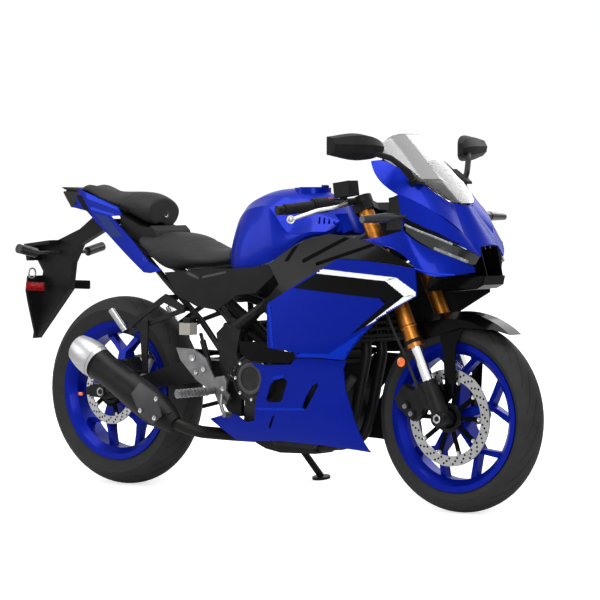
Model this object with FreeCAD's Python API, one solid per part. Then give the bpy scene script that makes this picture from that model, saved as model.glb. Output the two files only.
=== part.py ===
import FreeCAD, Part
import functools
import math
import os

V = FreeCAD.Vector

# Stance: x runs forward from the rear axle, y to the left, z up, before the bike leans on its stand
wheelbase = 1380.0
rake_angle = 25.0
trail = 95.0
lean_angle = 8.5
steering_lock = 34.0

# Wheels and tyres
front_tyre_radius = 294.0
front_tyre_half_width = 55.0
front_rim_half_width = 39.0
rear_tyre_radius = 314.0
rear_tyre_half_width = 70.0
rear_rim_half_width = 52.0
bead_radius = 218.0
flange_height = 12.0
rim_wall = 6.0
tyre_wall = 9.0
spoke_count = 5
spoke_half_width = 15.0
spoke_fork_radius = 128.0
spoke_branch_angle = 20.5
front_hub_radius = 30.0
front_hub_half_width = 40.0
rear_hub_radius = 42.0
rear_hub_half_width = 50.0
front_axle_radius = 8.0
rear_axle_radius = 8.5
running_fit = 0.05

# Brakes and chain drive
front_disc_radius = 149.0
front_disc_inner_radius = 117.0
front_disc_y = -59.0
rear_disc_radius = 110.0
rear_disc_inner_radius = 84.0
rear_disc_y = -76.0
disc_thickness = 4.5
chain_y = 84.0
chain_pitch = 15.875
chain_width = 14.0
rear_sprocket_teeth = 43
front_sprocket_teeth = 14
front_sprocket_x = 624.0
front_sprocket_z = 388.0
output_shaft_radius = 12.0
sprocket_room_radius = 56.0
sprocket_room_y = 72.0
slip_fit = 0.1
peg_radius = 6.0

# Fork, measured along the tubes from the axle
fork_half_spread = 98.0
fork_leg_radius = 27.0
fork_leg_length = 122.0
fork_inner_radius = 18.5
fork_outer_radius = 24.5
fork_outer_start = 245.0
fork_outer_end = 716.0
fork_collar_radius = 28.0
fork_collar_length = 11.0
lower_clamp_position = 556.0
upper_clamp_position = 690.0
clamp_thickness = 26.0
stem_radius = 15.0
head_tube_radius = 27.0

# Handlebars
grip_radius = 17.0
bar_radius = 11.0
grip_end_y = 350.0

# Body panels
panel_wall = 4.0
pivot_x = 569.0
pivot_z = 403.0
pivot_shaft_radius = 9.0
shock_top_x = 532.0
shock_top_z = 548.0
shock_foot_x = 432.0
shock_foot_z = 384.0
shock_y = 12.0
shock_bolt_radius = 8.0
frame_cross_radius = 12.0
frame_plate_inner_y = 104.0
frame_plate_thickness = 16.0
arm_inner_y = 92.0
arm_outer_y = 118.0
spool_x = 34.0
spool_z = 322.0
spool_face_y = 130.0
spool_boss_radius = 11.0
spool_hole_radius = 4.0
seat_gap = 0.3

# Number plate bolt holes
plate_bolt_x = -387.0
plate_bolt_y = 60.0
plate_bolt_z = 600.0
plate_bolt_radius = 3.5
plate_normal = V(216, 0, -36).normalize()

# Filler and its hinged cap
filler_x = 800.0
filler_radius = 22.0
filler_depth = 60.0
cap_radius = 44.0
cap_height = 9.0
cap_top_z = 994.0
cap_side_gap = 1.5
cap_hinge_height = 3.0
cap_hinge_radius = 4.0
cap_hinge_half_width = 8.0

# Side stand, its hinge axis as (x, z) slopes per unit of y
stand_pivot_x = 596.0
stand_pivot_y = 128.0
stand_pivot_z = 200.0
stand_foot_x = 636.0
stand_foot_y = 248.0
stand_tube_radius = 11.0
stand_eye_radius = 17.0
stand_eye_thickness = 18.0
stand_pin_radius = 6.0
stand_sole_thickness = 8.0
stand_hinge_slope_x = -0.15
stand_hinge_slope_z = 0.31
stand_folded_angle = 95.0

front_axle_z = front_tyre_radius
rear_axle_z = rear_tyre_radius
rake = math.radians(rake_angle)
steering_foot_x = wheelbase + trail
steering_direction = V(-math.sin(rake), 0, math.cos(rake))
fork_forward = V(math.cos(rake), 0, math.sin(rake))
fork_offset = (wheelbase + front_axle_z * math.tan(rake) - steering_foot_x) * math.cos(rake)
sides = (-1, 1)
shoulder_drop = 42.0
lean = math.radians(lean_angle)


def crown_radius(half_width):
    """Radius of a tyre's crown, from its half-width and the drop to its shoulders."""
    return (half_width ** 2 + shoulder_drop ** 2) / (2 * shoulder_drop)


ground_drop = crown_radius(rear_tyre_half_width) * (1 - math.cos(lean))


def ground_height(y, above):
    """Height, on the upright bike, of a point that lies above the ground once the bike leans."""
    return (above - ground_drop + y * math.sin(lean)) / math.cos(lean)


def fused(shapes):
    shapes = list(shapes)
    if len(shapes) == 1:
        return shapes[0]
    return shapes[0].multiFuse(shapes[1:]).removeSplitter()


def group(shapes):
    return Part.makeCompound(list(shapes))


def mirrored(shape):
    return shape.mirror(V(0, 0, 0), V(0, 1, 0))


def longest(shape):
    """The largest solid of a shape that a cut has split."""
    return max(shape.Solids, key=lambda solid: solid.Volume)


def pegged(panel, spots, carrier):
    """Right-hand panel with mounting pegs that run inward from it to its carrier.

    Each spot is the (x, z) of a peg and the half-width at which the carrier lies.
    """
    pegs = []
    for x, z, half_width in spots:
        pieces = cross_pin(x, z, (-260, -half_width), peg_radius).cut(panel).cut(carrier).Solids
        pegs.append(sorted(pieces, key=lambda solid: solid.CenterOfMass.y)[1])
    return fused([panel] + pegs)


def both_sides(right):
    """The right-hand piece and its mirror image."""
    return group([right, mirrored(right)])


def block(x_range, y_range, z_range):
    size = [high - low for low, high in (x_range, y_range, z_range)]
    return Part.makeBox(*size, V(x_range[0], y_range[0], z_range[0]))


def bar(start, end, radius):
    """Round bar between two points."""
    start = V(*start)
    along = V(*end) - start
    return Part.makeCylinder(radius, along.Length, start, along)


def cross_pin(x, z, y_range, radius):
    """Round pin or disc that runs across the bike."""
    return Part.makeCylinder(radius, y_range[1] - y_range[0], V(x, y_range[0], z), V(0, 1, 0))


def plate(points, y_range):
    """Flat plate with a side outline of (x, z) corners."""
    corners = [V(x, y_range[0], z) for x, z in points]
    face = Part.Face(Part.makePolygon(corners + corners[:1]))
    return face.extrude(V(0, y_range[1] - y_range[0], 0))


def placed(centre, offsets):
    """Side outline of (x, z) corners given from a wheel's axle."""
    return [(centre.x + x, centre.z + z) for x, z in offsets]


def turned(profile, centre):
    """Solid of revolution about an axle, from (y, radius) corners."""
    corners = [V(radius, y, 0) for y, radius in profile]
    face = Part.Face(Part.makePolygon(corners + corners[:1]))
    solid = face.revolve(V(0, 0, 0), V(0, 1, 0), 360)
    solid.translate(centre)
    return solid


def bent_path(points, bend):
    """Straight runs joined by tangent arcs, each as large as its runs allow up to the bend."""
    points = [V(*point) for point in points]
    edges = []
    start = points[0]
    for before, corner, after in zip(points, points[1:], points[2:]):
        back = before - corner
        ahead = after - corner
        half_turn = (math.pi - back.getAngle(ahead)) / 2
        room = 0.45 * min(back.Length, ahead.Length)
        radius = min(bend, room / math.tan(half_turn))
        back.normalize()
        ahead.normalize()
        cut_back = radius * math.tan(half_turn)
        middle = (back + ahead).normalize() * (radius / math.cos(half_turn) - radius)
        arc_start = corner + back * cut_back
        arc_end = corner + ahead * cut_back
        edges.append(Part.LineSegment(start, arc_start).toShape())
        edges.append(Part.Arc(arc_start, corner + middle, arc_end).toShape())
        start = arc_end
    edges.append(Part.LineSegment(start, points[-1]).toShape())
    return Part.Wire(edges)


def tube(points, radius, bend):
    """Round tube or rod along a bent path."""
    start = V(*points[0])
    ring = Part.Wire(Part.makeCircle(radius, start, V(*points[1]) - start))
    return bent_path(points, bend).makePipeShell([ring], True, False)


def curve(points):
    """Smooth edge through a few points."""
    if len(points) == 2:
        return Part.makeLine(V(*points[0]), V(*points[1]))
    spline = Part.BSplineCurve()
    spline.interpolate([V(*point) for point in points])
    return spline.toShape()


def creased_panel(lines, inward):
    """Panel whose outer skin spans neighbouring character lines, thickened inward."""
    strips = []
    for first, second in zip(lines, lines[1:]):
        face = Part.makeRuledSurface(curve(first), curve(second))
        strips.append(face.extrude(V(*inward)))
    return fused(strips)


def bowed_panel(outline, half_widths, wall):
    """Right-hand side panel: a bowed skin over a grid of half-widths, trimmed to a side outline.

    half_widths maps each height to (x, half-width) pairs, the same count on every height.
    """
    rows = []
    for height, stations in sorted(half_widths.items()):
        rows.append([V(x, -half_width, height) for x, half_width in stations])
    surface = Part.BSplineSurface()
    surface.interpolate(rows)
    skin = surface.toShape().extrude(V(0, wall, 0))
    return skin.common(plate(outline, (-400, 0)))


def body_section(x, rows):
    """Closed smooth section across the bike at x, from (half-width, height) rows, bottom to top."""
    left = [V(x, half_width, height) for half_width, height in rows]
    right = [V(x, -half_width, height) for half_width, height in rows if half_width > 0]
    spline = Part.BSplineCurve()
    spline.interpolate(left + right[::-1], PeriodicFlag=True)
    return Part.Wire(spline.toShape())


def tank_section(x, low, low_width, belly, crease, shoulder, top):
    """Section of the tank at x: flat floor, bowed sides, two creases and a bowed top.

    belly, crease and shoulder are (half-width, height) pairs.
    """
    def edges(side):
        floor_corner = (x, side * low_width, low)
        flank = curve([floor_corner, (x, side * belly[0], belly[1]), (x, side * crease[0], crease[1])])
        facet = curve([(x, side * crease[0], crease[1]), (x, side * shoulder[0], shoulder[1])])
        return flank, facet
    right_flank, right_facet = edges(-1)
    left_flank, left_facet = edges(1)
    roof = curve([(x, -shoulder[0], shoulder[1]), (x, 0, top), (x, shoulder[0], shoulder[1])])
    floor = curve([(x, low_width, low), (x, -low_width, low)])
    return Part.Wire([floor, right_flank, right_facet, roof, left_facet, left_flank])


def on_fork(shape):
    """Place a piece modelled on the front axle with z up the fork tubes."""
    shape.rotate(V(0, 0, 0), V(0, 1, 0), -rake_angle)
    shape.translate(V(wheelbase, 0, front_axle_z))
    return shape


def fork_point(forward, y, along):
    """Point of the bike that lies forward of the fork line and up it from the axle."""
    return V(wheelbase, y, front_axle_z) + fork_forward * forward + steering_direction * along


def stand_hinge():
    """Pivot and axis of the side stand."""
    axis = V(stand_hinge_slope_x, 1, stand_hinge_slope_z).normalize()
    return V(stand_pivot_x, stand_pivot_y, stand_pivot_z), axis


def cap_hinge():
    """Hinge line of the filler cap, just ahead of it."""
    return V(filler_x + cap_radius + cap_hinge_radius + cap_side_gap, 0, cap_top_z + cap_hinge_height)


# Wheels


def rim(centre, rim_half_width, hub_radius, hub_half_width, axle_radius):
    """Cast rim with Y-shaped spokes and a hub."""
    flange_radius = bead_radius + flange_height
    well_radius = bead_radius - 20
    outer = rim_half_width + rim_wall
    hoop = turned([
        (-outer, flange_radius), (-rim_half_width, flange_radius), (-rim_half_width, bead_radius),
        (-rim_half_width + 14, bead_radius - 2), (-rim_half_width + 20, well_radius),
        (rim_half_width - 20, well_radius), (rim_half_width - 14, bead_radius - 2),
        (rim_half_width, bead_radius), (rim_half_width, flange_radius), (outer, flange_radius),
        (outer - 2, bead_radius - rim_wall), (rim_half_width - 17, well_radius - rim_wall),
        (17 - rim_half_width, well_radius - rim_wall), (2 - outer, bead_radius - rim_wall),
    ], V(0, 0, 0))
    root_radius = well_radius - rim_wall + 2
    envelope = turned([
        (-hub_half_width + 4, 0), (-hub_half_width + 8, hub_radius), (-15, root_radius - 40),
        (-12, root_radius), (12, root_radius), (15, root_radius - 40),
        (hub_half_width - 8, hub_radius), (hub_half_width - 4, 0),
    ], V(0, 0, 0))
    star = []
    for index in range(spoke_count):
        middle = 90 + 360 / spoke_count * index
        spread = math.degrees(math.asin(spoke_half_width / spoke_fork_radius))
        trunk = [polar(hub_radius, middle - 30), polar(spoke_fork_radius, middle - spread),
                 polar(spoke_fork_radius, middle + spread), polar(hub_radius, middle + 30)]
        star.append(plate(trunk, (-100, 100)))
        for branch in (-1, 1):
            tip = middle + branch * spoke_branch_angle
            arm = [polar(spoke_fork_radius - 22, middle), polar(spoke_fork_radius, middle + branch * spread),
                   polar(root_radius + 4, tip + branch * 3), polar(root_radius + 4, tip - branch * 4),
                   polar(spoke_fork_radius + 4, middle)]
            star.append(plate(arm, (-100, 100)))
    spokes = fused(star).common(envelope)
    hub = cross_pin(0, 0, (-hub_half_width, hub_half_width), hub_radius)
    bore = cross_pin(0, 0, (-hub_half_width, hub_half_width), axle_radius + running_fit)
    wheel = fused([hoop, spokes, hub]).cut(bore)
    wheel.translate(centre)
    return wheel


def polar(radius, angle):
    """Side-view point at a radius and angle from the axle."""
    return (radius * math.cos(math.radians(angle)), radius * math.sin(math.radians(angle)))


def tyre(centre, radius, half_width, rim_half_width):
    """Road tyre: a round crown on side walls that end at the rim's bead seats."""
    shoulder_radius = radius - shoulder_drop
    bead_top = bead_radius + flange_height
    toe = rim_half_width - 10
    inner_half_width = half_width - tyre_wall
    points = {
        "heel": V(bead_radius, rim_half_width, 0),
        "flange": V(bead_top, rim_half_width, 0),
        "shoulder": V(shoulder_radius, half_width, 0),
        "inner_shoulder": V(shoulder_radius, inner_half_width, 0),
        "inner_bead": V(bead_top, toe, 0),
        "toe": V(bead_radius, toe, 0),
    }
    other = {name: V(point.x, -point.y, 0) for name, point in points.items()}
    crown = Part.Arc(points["shoulder"], V(radius, 0, 0), other["shoulder"]).toShape()
    lining = Part.Arc(other["inner_shoulder"], V(radius - tyre_wall, 0, 0), points["inner_shoulder"]).toShape()
    walls = [points["heel"], points["flange"], points["shoulder"]]
    far_walls = [other[name] for name in ("shoulder", "flange", "heel", "toe", "inner_bead", "inner_shoulder")]
    liner = [points[name] for name in ("inner_shoulder", "inner_bead", "toe", "heel")]
    edges = Part.makePolygon(walls).Edges + [crown] + Part.makePolygon(far_walls).Edges
    edges = edges + [lining] + Part.makePolygon(liner).Edges
    solid = Part.Face(Part.Wire(edges)).revolve(V(0, 0, 0), V(0, 1, 0), 360)
    solid.translate(centre)
    return solid


def brake_disc(centre, y, outer_radius, inner_radius, hub_radius, axle_radius, arm_count):
    """Floating disc on an arm carrier, bolted to the side of the hub."""
    low = y - disc_thickness / 2
    high = y + disc_thickness / 2
    ring = turned([(low, inner_radius), (low, outer_radius), (high, outer_radius), (high, inner_radius)],
                  V(0, 0, 0))
    boss = turned([(low, axle_radius + 8), (low, hub_radius + 8), (high, hub_radius + 8),
                   (high, axle_radius + 8)], V(0, 0, 0))
    arms = []
    for index in range(arm_count):
        arm = block((hub_radius, inner_radius + 5), (low, high), (-7, 7))
        arm.rotate(V(0, 0, 0), V(0, 1, 0), 360 / arm_count * index)
        arms.append(arm)
    disc = fused([ring, boss] + arms)
    disc.translate(centre)
    return disc


def sprocket_radius(teeth):
    return chain_pitch / (2 * math.sin(math.pi / teeth))


def sprocket(centre, teeth, thickness, bore_radius):
    """Toothed wheel on the chain line."""
    pitch_radius = sprocket_radius(teeth)
    step = 360 / teeth
    outline = []
    for index in range(teeth):
        outline.append(polar(pitch_radius - 4, step * (index - 0.25)))
        outline.append(polar(pitch_radius + 3, step * (index + 0.1)))
        outline.append(polar(pitch_radius + 3, step * (index + 0.4)))
    y_range = (chain_y - thickness / 2, chain_y + thickness / 2)
    wheel = plate(outline, y_range).cut(cross_pin(0, 0, y_range, bore_radius))
    wheel.translate(centre)
    return wheel


front_axle = V(wheelbase, 0, front_axle_z)
rear_axle = V(0, 0, rear_axle_z)


def front_rim():
    return rim(front_axle, front_rim_half_width, front_hub_radius, front_hub_half_width, front_axle_radius)


def front_tyre():
    return tyre(front_axle, front_tyre_radius, front_tyre_half_width, front_rim_half_width)


def front_disc():
    disc = brake_disc(front_axle, front_disc_y, front_disc_radius, front_disc_inner_radius,
                      front_hub_radius, front_axle_radius, 10)
    spacer = turned([(front_disc_y + disc_thickness / 2, front_axle_radius + 8),
                     (front_disc_y + disc_thickness / 2, front_hub_radius + 4),
                     (-front_hub_half_width, front_hub_radius + 4),
                     (-front_hub_half_width, front_axle_radius + 8)], front_axle)
    return fused([disc, spacer])


def rear_rim():
    return rim(rear_axle, rear_rim_half_width, rear_hub_radius, rear_hub_half_width, rear_axle_radius)


def rear_tyre():
    return tyre(rear_axle, rear_tyre_radius, rear_tyre_half_width, rear_rim_half_width)


def rear_disc():
    disc = brake_disc(rear_axle, rear_disc_y, rear_disc_radius, rear_disc_inner_radius,
                      rear_hub_radius, rear_axle_radius, 5)
    spacer = turned([(rear_disc_y + disc_thickness / 2, rear_axle_radius + 12),
                     (rear_disc_y + disc_thickness / 2, rear_hub_radius),
                     (-rear_hub_half_width, rear_hub_radius),
                     (-rear_hub_half_width, rear_axle_radius + 12)], rear_axle)
    return fused([disc, spacer])


def rear_sprocket():
    thickness = 7.0
    wheel = sprocket(rear_axle, rear_sprocket_teeth, thickness, 62.0)
    face = chain_y - thickness / 2
    carrier = turned([(rear_hub_half_width, rear_axle_radius + 12), (rear_hub_half_width, rear_hub_radius),
                      (face, 60), (face, 76), (chain_y + thickness / 2, 76), (chain_y + thickness / 2, 34),
                      (face, 34), (face, rear_axle_radius + 12)], rear_axle)
    return fused([wheel.cut(carrier), carrier])


# Steering: fork, clamps, bars, fender and caliper


@functools.cache
def fork_legs():
    """Lower legs with the axle clamps, joined by the axle."""
    legs = []
    for side in sides:
        y = side * fork_half_spread
        leg = Part.makeCylinder(fork_leg_radius, fork_leg_length + 24, V(0, y, -24))
        inner = Part.makeCylinder(fork_inner_radius, fork_leg_length, V(0, y, 40))
        clamp = cross_pin(0, 0, (y - 26, y + 26), 25)
        legs.append(fused([leg.cut(inner), clamp]))
    lugs = [
        plate([(-50, 60), (-20, 30), (-20, 118), (-50, 104)], (-fork_half_spread - 9, -fork_half_spread + 9)),
    ]
    axle = cross_pin(0, 0, (-fork_half_spread - 30, fork_half_spread + 30), front_axle_radius)
    shape = fused([fused(legs + lugs), axle])
    return on_fork(shape)


def fork_inners():
    """Polished inner tubes."""
    tubes = []
    for side in sides:
        length = fork_outer_start + 60 - 40
        tubes.append(Part.makeCylinder(fork_inner_radius, length, V(0, side * fork_half_spread, 40)))
    return on_fork(group(tubes))


def fork_outers():
    """Outer tubes with their seal collars and top caps."""
    tubes = []
    for side in sides:
        y = side * fork_half_spread
        outer = Part.makeCylinder(fork_outer_radius, fork_outer_end - fork_outer_start, V(0, y, fork_outer_start))
        collar_base = V(0, y, fork_outer_start - fork_collar_length)
        collar = Part.makeCylinder(fork_collar_radius, fork_collar_length + 20, collar_base)
        cap = Part.makeCylinder(fork_outer_radius - 6, 8, V(0, y, fork_outer_end))
        inside_length = 60 + fork_collar_length
        inner = Part.makeCylinder(fork_inner_radius, inside_length, collar_base)
        tubes.append(fused([outer, collar, cap]).cut(inner))
    return on_fork(group(tubes))


def fork_clamps():
    """Lower and upper clamps on the steering stem, bored for the fork tubes."""
    pieces = []
    for position in (lower_clamp_position, upper_clamp_position):
        half = fork_half_spread
        outline = [(-fork_offset - 30, -34), (-34, -half - 6), (-20, -half - 34), (22, -half - 34),
                   (34, -half), (10, -40), (10, 40), (34, half), (22, half + 34), (-20, half + 34),
                   (-34, half + 6), (-fork_offset - 30, 34)]
        corners = [V(x, y, position) for x, y in outline]
        face = Part.Face(Part.makePolygon(corners + corners[:1]))
        pieces.append(face.extrude(V(0, 0, clamp_thickness)))
    stem_length = upper_clamp_position + clamp_thickness - lower_clamp_position + 12
    stem = Part.makeCylinder(stem_radius, stem_length, V(-fork_offset, 0, lower_clamp_position))
    clamps = fused(pieces + [stem])
    for side in sides:
        base = V(0, side * fork_half_spread, lower_clamp_position - 1)
        clamps = clamps.cut(Part.makeCylinder(fork_outer_radius, 300, base))
    return on_fork(clamps)


def bar_line():
    """Root, inner flange and outer end of the right-hand bar."""
    root = fork_point(-4, -fork_half_spread - 20, upper_clamp_position + clamp_thickness + 12)
    end = V(966, -grip_end_y, 926)
    direction = (end - root).normalize()
    flange = root + direction * 152
    return root, flange, end


def handlebars():
    """Clip-on bars: a clamp collar on each fork top with its bar and end weight."""
    root, flange, end = bar_line()
    outward = (end - root).normalize()
    collar_base = fork_point(0, -fork_half_spread, upper_clamp_position + clamp_thickness)
    collar = Part.makeCylinder(fork_outer_radius + 8, 22, collar_base, steering_direction)
    collar = collar.cut(Part.makeCylinder(fork_outer_radius, 40, collar_base, steering_direction))
    rod = Part.makeCylinder(bar_radius, (end - root).Length + 6, root, outward)
    rod = rod.cut(Part.makeCylinder(fork_outer_radius, 60, collar_base - steering_direction * 10,
                                    steering_direction))
    weight = Part.makeCylinder(grip_radius - 2, 18, end + outward * 6, outward)
    return both_sides(fused([collar, rod, weight]))


def hand_controls():
    """Grips, switch boxes, levers on their perches, and the front brake's reservoir."""
    root, flange, end = bar_line()
    outward = (end - root).normalize()
    bar_hole = Part.makeCylinder(bar_radius + slip_fit, 400, root - outward * 20, outward)
    grip = Part.makeCylinder(grip_radius, (end - flange).Length - 2, flange, outward)
    flange_ring = Part.makeCylinder(grip_radius + 7, 6, flange - outward * 4, outward)
    grip = fused([grip, flange_ring]).cut(bar_hole)
    switch_start = flange - outward * 46
    switch_box = Part.makeCylinder(24, 40, switch_start, outward)
    perch_start = switch_start - outward * 36
    perch = Part.makeCylinder(17, 32, perch_start, outward)
    arm_start = perch_start + outward * 14
    knuckle = arm_start + V(52, -2, 2)
    perch_arm = bar(arm_start, knuckle, 11)
    switch_set = fused([switch_box, perch, perch_arm]).cut(bar_hole)
    lever_points = [knuckle, knuckle + V(4, -52, -12), knuckle + V(-36, -96, -22), knuckle + V(-96, -150, -50)]
    lever = tube(lever_points, 6.5, 40)
    lever = fused([lever, Part.makeSphere(9, lever_points[-1])]).cut(switch_set)
    right = [grip, switch_set, lever]
    left = [mirrored(shape) for shape in right]
    tank_base = arm_start + V(40, 13, 10)
    bracket = bar(arm_start + V(16, 4, 4), tank_base + V(0, 0, 12), 7).cut(bar_hole).cut(switch_set)
    reservoir = block((-30, 30), (-25, 25), (0, 46))
    reservoir.rotate(V(0, 0, 0), V(0, 1, 0), -8)
    reservoir.translate(tank_base + V(0, 4, 12))
    return group(right + left + [fused([bracket, reservoir])])


def front_fender():
    """Fender over the front tyre with a long nose and side stays to the fork legs."""
    inner = front_tyre_radius + 20
    outer = inner + 4
    half_width = front_tyre_half_width + 14
    profile = [(-half_width, inner - 66), (-half_width + 6, inner - 22), (-28, inner), (28, inner),
               (half_width - 6, inner - 22), (half_width, inner - 66),
               (half_width + 4, inner - 66), (half_width - 3, outer - 20), (30, outer), (-30, outer),
               (-half_width + 3, outer - 20), (-half_width - 4, inner - 66)]
    hoop = turned(profile, front_axle + V(10, 0, 4))
    reach = placed(front_axle, [(-144, 266), (-96, 234), (-50, 246), (43, 276), (154, 273), (220, 251),
                                (224, 266), (180, 366), (-150, 376)])
    shell = hoop.common(plate(reach, (-200, 200)))
    stays = []
    for side in sides:
        y_range = sorted((side * half_width, side * (half_width + 4)))
        stay = plate(placed(front_axle, [(-28, 248), (58, 274), (32, 223), (28, 139), (24, 69), (-6, 39),
                                         (-11, 137), (-16, 200)]), y_range)
        lug_range = sorted((side * (half_width + 2), side * (fork_half_spread - 4)))
        lug = cross_pin(front_axle.x - 10, front_axle.z + 92, lug_range, 12)
        stays.append(fused([stay, lug]))
    fender = fused([shell] + stays).cut(fork_legs())
    return group([solid for solid in fender.Solids if solid.Volume > 1000])


def front_brake():
    """Two-piston caliper over the disc's trailing edge, on the lugs of the right fork leg."""
    y = front_disc_y
    body = placed(front_axle, [(-183, 44), (-178, 24), (-160, 14), (-142, -2), (-118, -16), (-90, 6),
                               (-80, 28), (-118, 78), (-148, 90), (-168, 72)])
    outer = plate(body, (y - 28, y - 4.5))
    inner = plate(body, (y + 4.5, y + 7))
    bridge = plate(placed(front_axle, [(-183, 44), (-148, 90), (-154, 98), (-192, 50)]), (y - 28, y + 7))
    lug = plate(placed(front_axle, [(-118, 78), (-80, 28), (-58, 54), (-70, 106), (-90, 110)]), (y - 28, y - 10))
    pistons = []
    for x, z in ((-146, 30), (-124, 8)):
        pistons.append(cross_pin(front_axle.x + x, front_axle.z + z, (y - 35, y - 28), 15))
    return fused([outer, inner, bridge, lug] + pistons).cut(fork_legs())


# Chassis


def head_tube():
    start = fork_point(-fork_offset, 0, lower_clamp_position + clamp_thickness + seat_gap)
    length = upper_clamp_position - lower_clamp_position - clamp_thickness - 2 * seat_gap
    shell = Part.makeCylinder(head_tube_radius, length, start, steering_direction)
    bore = Part.makeCylinder(stem_radius + running_fit, length, start, steering_direction)
    return shell, bore


@functools.cache
def frame():
    """Tubular main frame, pivot plates and the rear rails that carry the seats."""
    shell, bore = head_tube()
    head = fork_point(-fork_offset, 0, (lower_clamp_position + upper_clamp_position + clamp_thickness) / 2)
    pieces = [shell]
    plate_range = (-frame_plate_inner_y - frame_plate_thickness, -frame_plate_inner_y)
    middle_y = -frame_plate_inner_y - frame_plate_thickness / 2
    plate_outline = [(512, 392), (515, 315), (560, 262), (602, 262), (605, 405), (583, 464), (604, 560),
                     (560, 575), (498, 525), (510, 470)]
    for side in sides:
        upper = [(head.x, 0, head.z + 10), (head.x - 70, side * 60, head.z - 40), (900, side * 118, 745),
                 (735, side * 118, 640), (582, side * 112, 552)]
        lower = [(head.x, 0, head.z - 24), (1000, side * 52, 770), (968, side * 112, 660), (905, side * 112, 585)]
        brace = [(900, side * 118, 742), (905, side * 112, 590), (820, side * 112, 560)]
        rail = [(556, side * 112, 560), (470, side * 104, 640), (400, side * 96, 690), (180, side * 80, 778),
                (-40, side * 56, 876)]
        strut = [(512, side * 112, 470), (420, side * 100, 560), (250, side * 84, 690), (130, side * 78, 792)]
        pieces.append(tube(upper, 17, 120))
        pieces.append(tube(lower, 13, 80))
        pieces.append(tube(brace, 11, 60))
        pieces.append(tube(rail, 12, 160))
        pieces.append(tube(strut, 10, 120))
    hinge_point, hinge_axis = stand_hinge()
    bracket_face = 108.0
    bracket = plate([(562, 300), (604, 300), (620, 204), (600, 178), (572, 184)], (98, bracket_face))
    boss_length = (hinge_point.y - bracket_face) / hinge_axis.y - stand_eye_thickness / 2 - seat_gap
    boss_foot = hinge_point - hinge_axis * (stand_eye_thickness / 2 + seat_gap + boss_length + 6)
    pieces.append(bracket)
    pieces.append(Part.makeCylinder(13, boss_length + 6, boss_foot, hinge_axis))
    pin_length = boss_length + stand_eye_thickness + 10
    pieces.append(Part.makeCylinder(stand_pin_radius, pin_length, boss_foot, hinge_axis))
    pivot_plate = plate(plate_outline, plate_range)
    boss = cross_pin(pivot_x, pivot_z, (plate_range[0] - 6, plate_range[1]), 26)
    right_plate = fused([pivot_plate, boss])
    pieces += [right_plate, mirrored(right_plate)]
    for x, z in ((shock_top_x, shock_top_z), (560, 278)):
        pieces.append(cross_pin(x, z, (middle_y, -middle_y), frame_cross_radius))
    pieces.append(cross_pin(180, 778, (-80, 80), 10))
    pieces.append(cross_pin(-40, 876, (-62, 62), 10))
    body = fused(pieces).cut(bore)
    shaft_hole = cross_pin(pivot_x, pivot_z, (-200, 200), pivot_shaft_radius)
    return body.cut(shaft_hole)


@functools.cache
def engine():
    """Parallel twin: crankcase, tilted cylinder block, head and side covers."""
    case = plate([(618, 250), (640, 205), (820, 200), (940, 222), (985, 290), (978, 360), (930, 440),
                  (760, 470), (640, 462), (612, 400)], (-94, 94))
    sump = plate([(660, 210), (700, 172), (850, 168), (900, 214)], (-70, 70))
    clutch = cross_pin(688, 389, (-168, -94), 78)
    clutch_rim = cross_pin(688, 389, (-176, -168), 52)
    clutch_lobe = plate([(630, 250), (640, 222), (780, 216), (836, 268), (830, 390), (740, 440), (640, 400)],
                        (-140, -94))
    generator = cross_pin(858, 330, (94, 150), 74)
    generator_cap = cross_pin(858, 330, (150, 158), 44)
    pump = cross_pin(930, 300, (-126, -94), 34)
    cylinder = plate([(770, 468), (930, 436), (972, 545), (812, 582)], (-88, 88))
    fins = []
    for index in range(3):
        low = 476 + 30 * index
        fins.append(plate([(766 + 11 * index, low), (946 + 11 * index, low - 34), (949 + 11 * index, low - 24),
                           (769 + 11 * index, low + 10)], (-94, 94)))
    head = plate([(806, 580), (976, 544), (1000, 560), (1012, 628), (986, 664), (858, 692), (826, 660)],
                 (-94, 94))
    front_mount = cross_pin(905, 600, (-112, 112), 14)
    solid = fused([case, sump, clutch, clutch_rim, clutch_lobe, generator, generator_cap, pump,
                   cylinder, head, front_mount] + fins)
    solid = solid.cut(cross_pin(front_sprocket_x, front_sprocket_z, (sprocket_room_y, 200), sprocket_room_radius))
    shaft = cross_pin(front_sprocket_x, front_sprocket_z, (sprocket_room_y - 4, chain_y + 6), output_shaft_radius)
    cover = plate([(668, 330), (616, 334), (604, 372), (604, 420), (630, 446), (690, 446), (690, 330)],
                  (chain_y + 14, chain_y + 19))
    post = cross_pin(684, 430, (90, chain_y + 16), 8)
    return fused([solid, shaft, cover, post]).cut(frame())


def header_path(side):
    return [(1004, side * 38, 590), (1040, side * 38, 556), (1046, side * 40, 470), (1006, side * 42, 300),
            (975, side * 40, 205), (900, side * 28, 178), (840, side * 22, 172)]


@functools.cache
def exhaust_headers():
    """Two header pipes that join under the sump and run back to the silencer."""
    pieces = [tube(header_path(side), 17, 70) for side in sides]
    collector = plate([(846, 190), (846, 150), (700, 146), (640, 156), (600, 172), (600, 206), (660, 200)],
                      (-44, 44))
    tail = [(606, -8, 190), (520, -70, 196), (470, -160, 208), (432, -194, 222), (380, -203, 241)]
    pieces += [collector, tube(tail, 20, 70)]
    return fused(pieces).cut(engine())


muffler_front = V(398, -202, 231)
muffler_rear = V(2, -214, 453)


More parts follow.
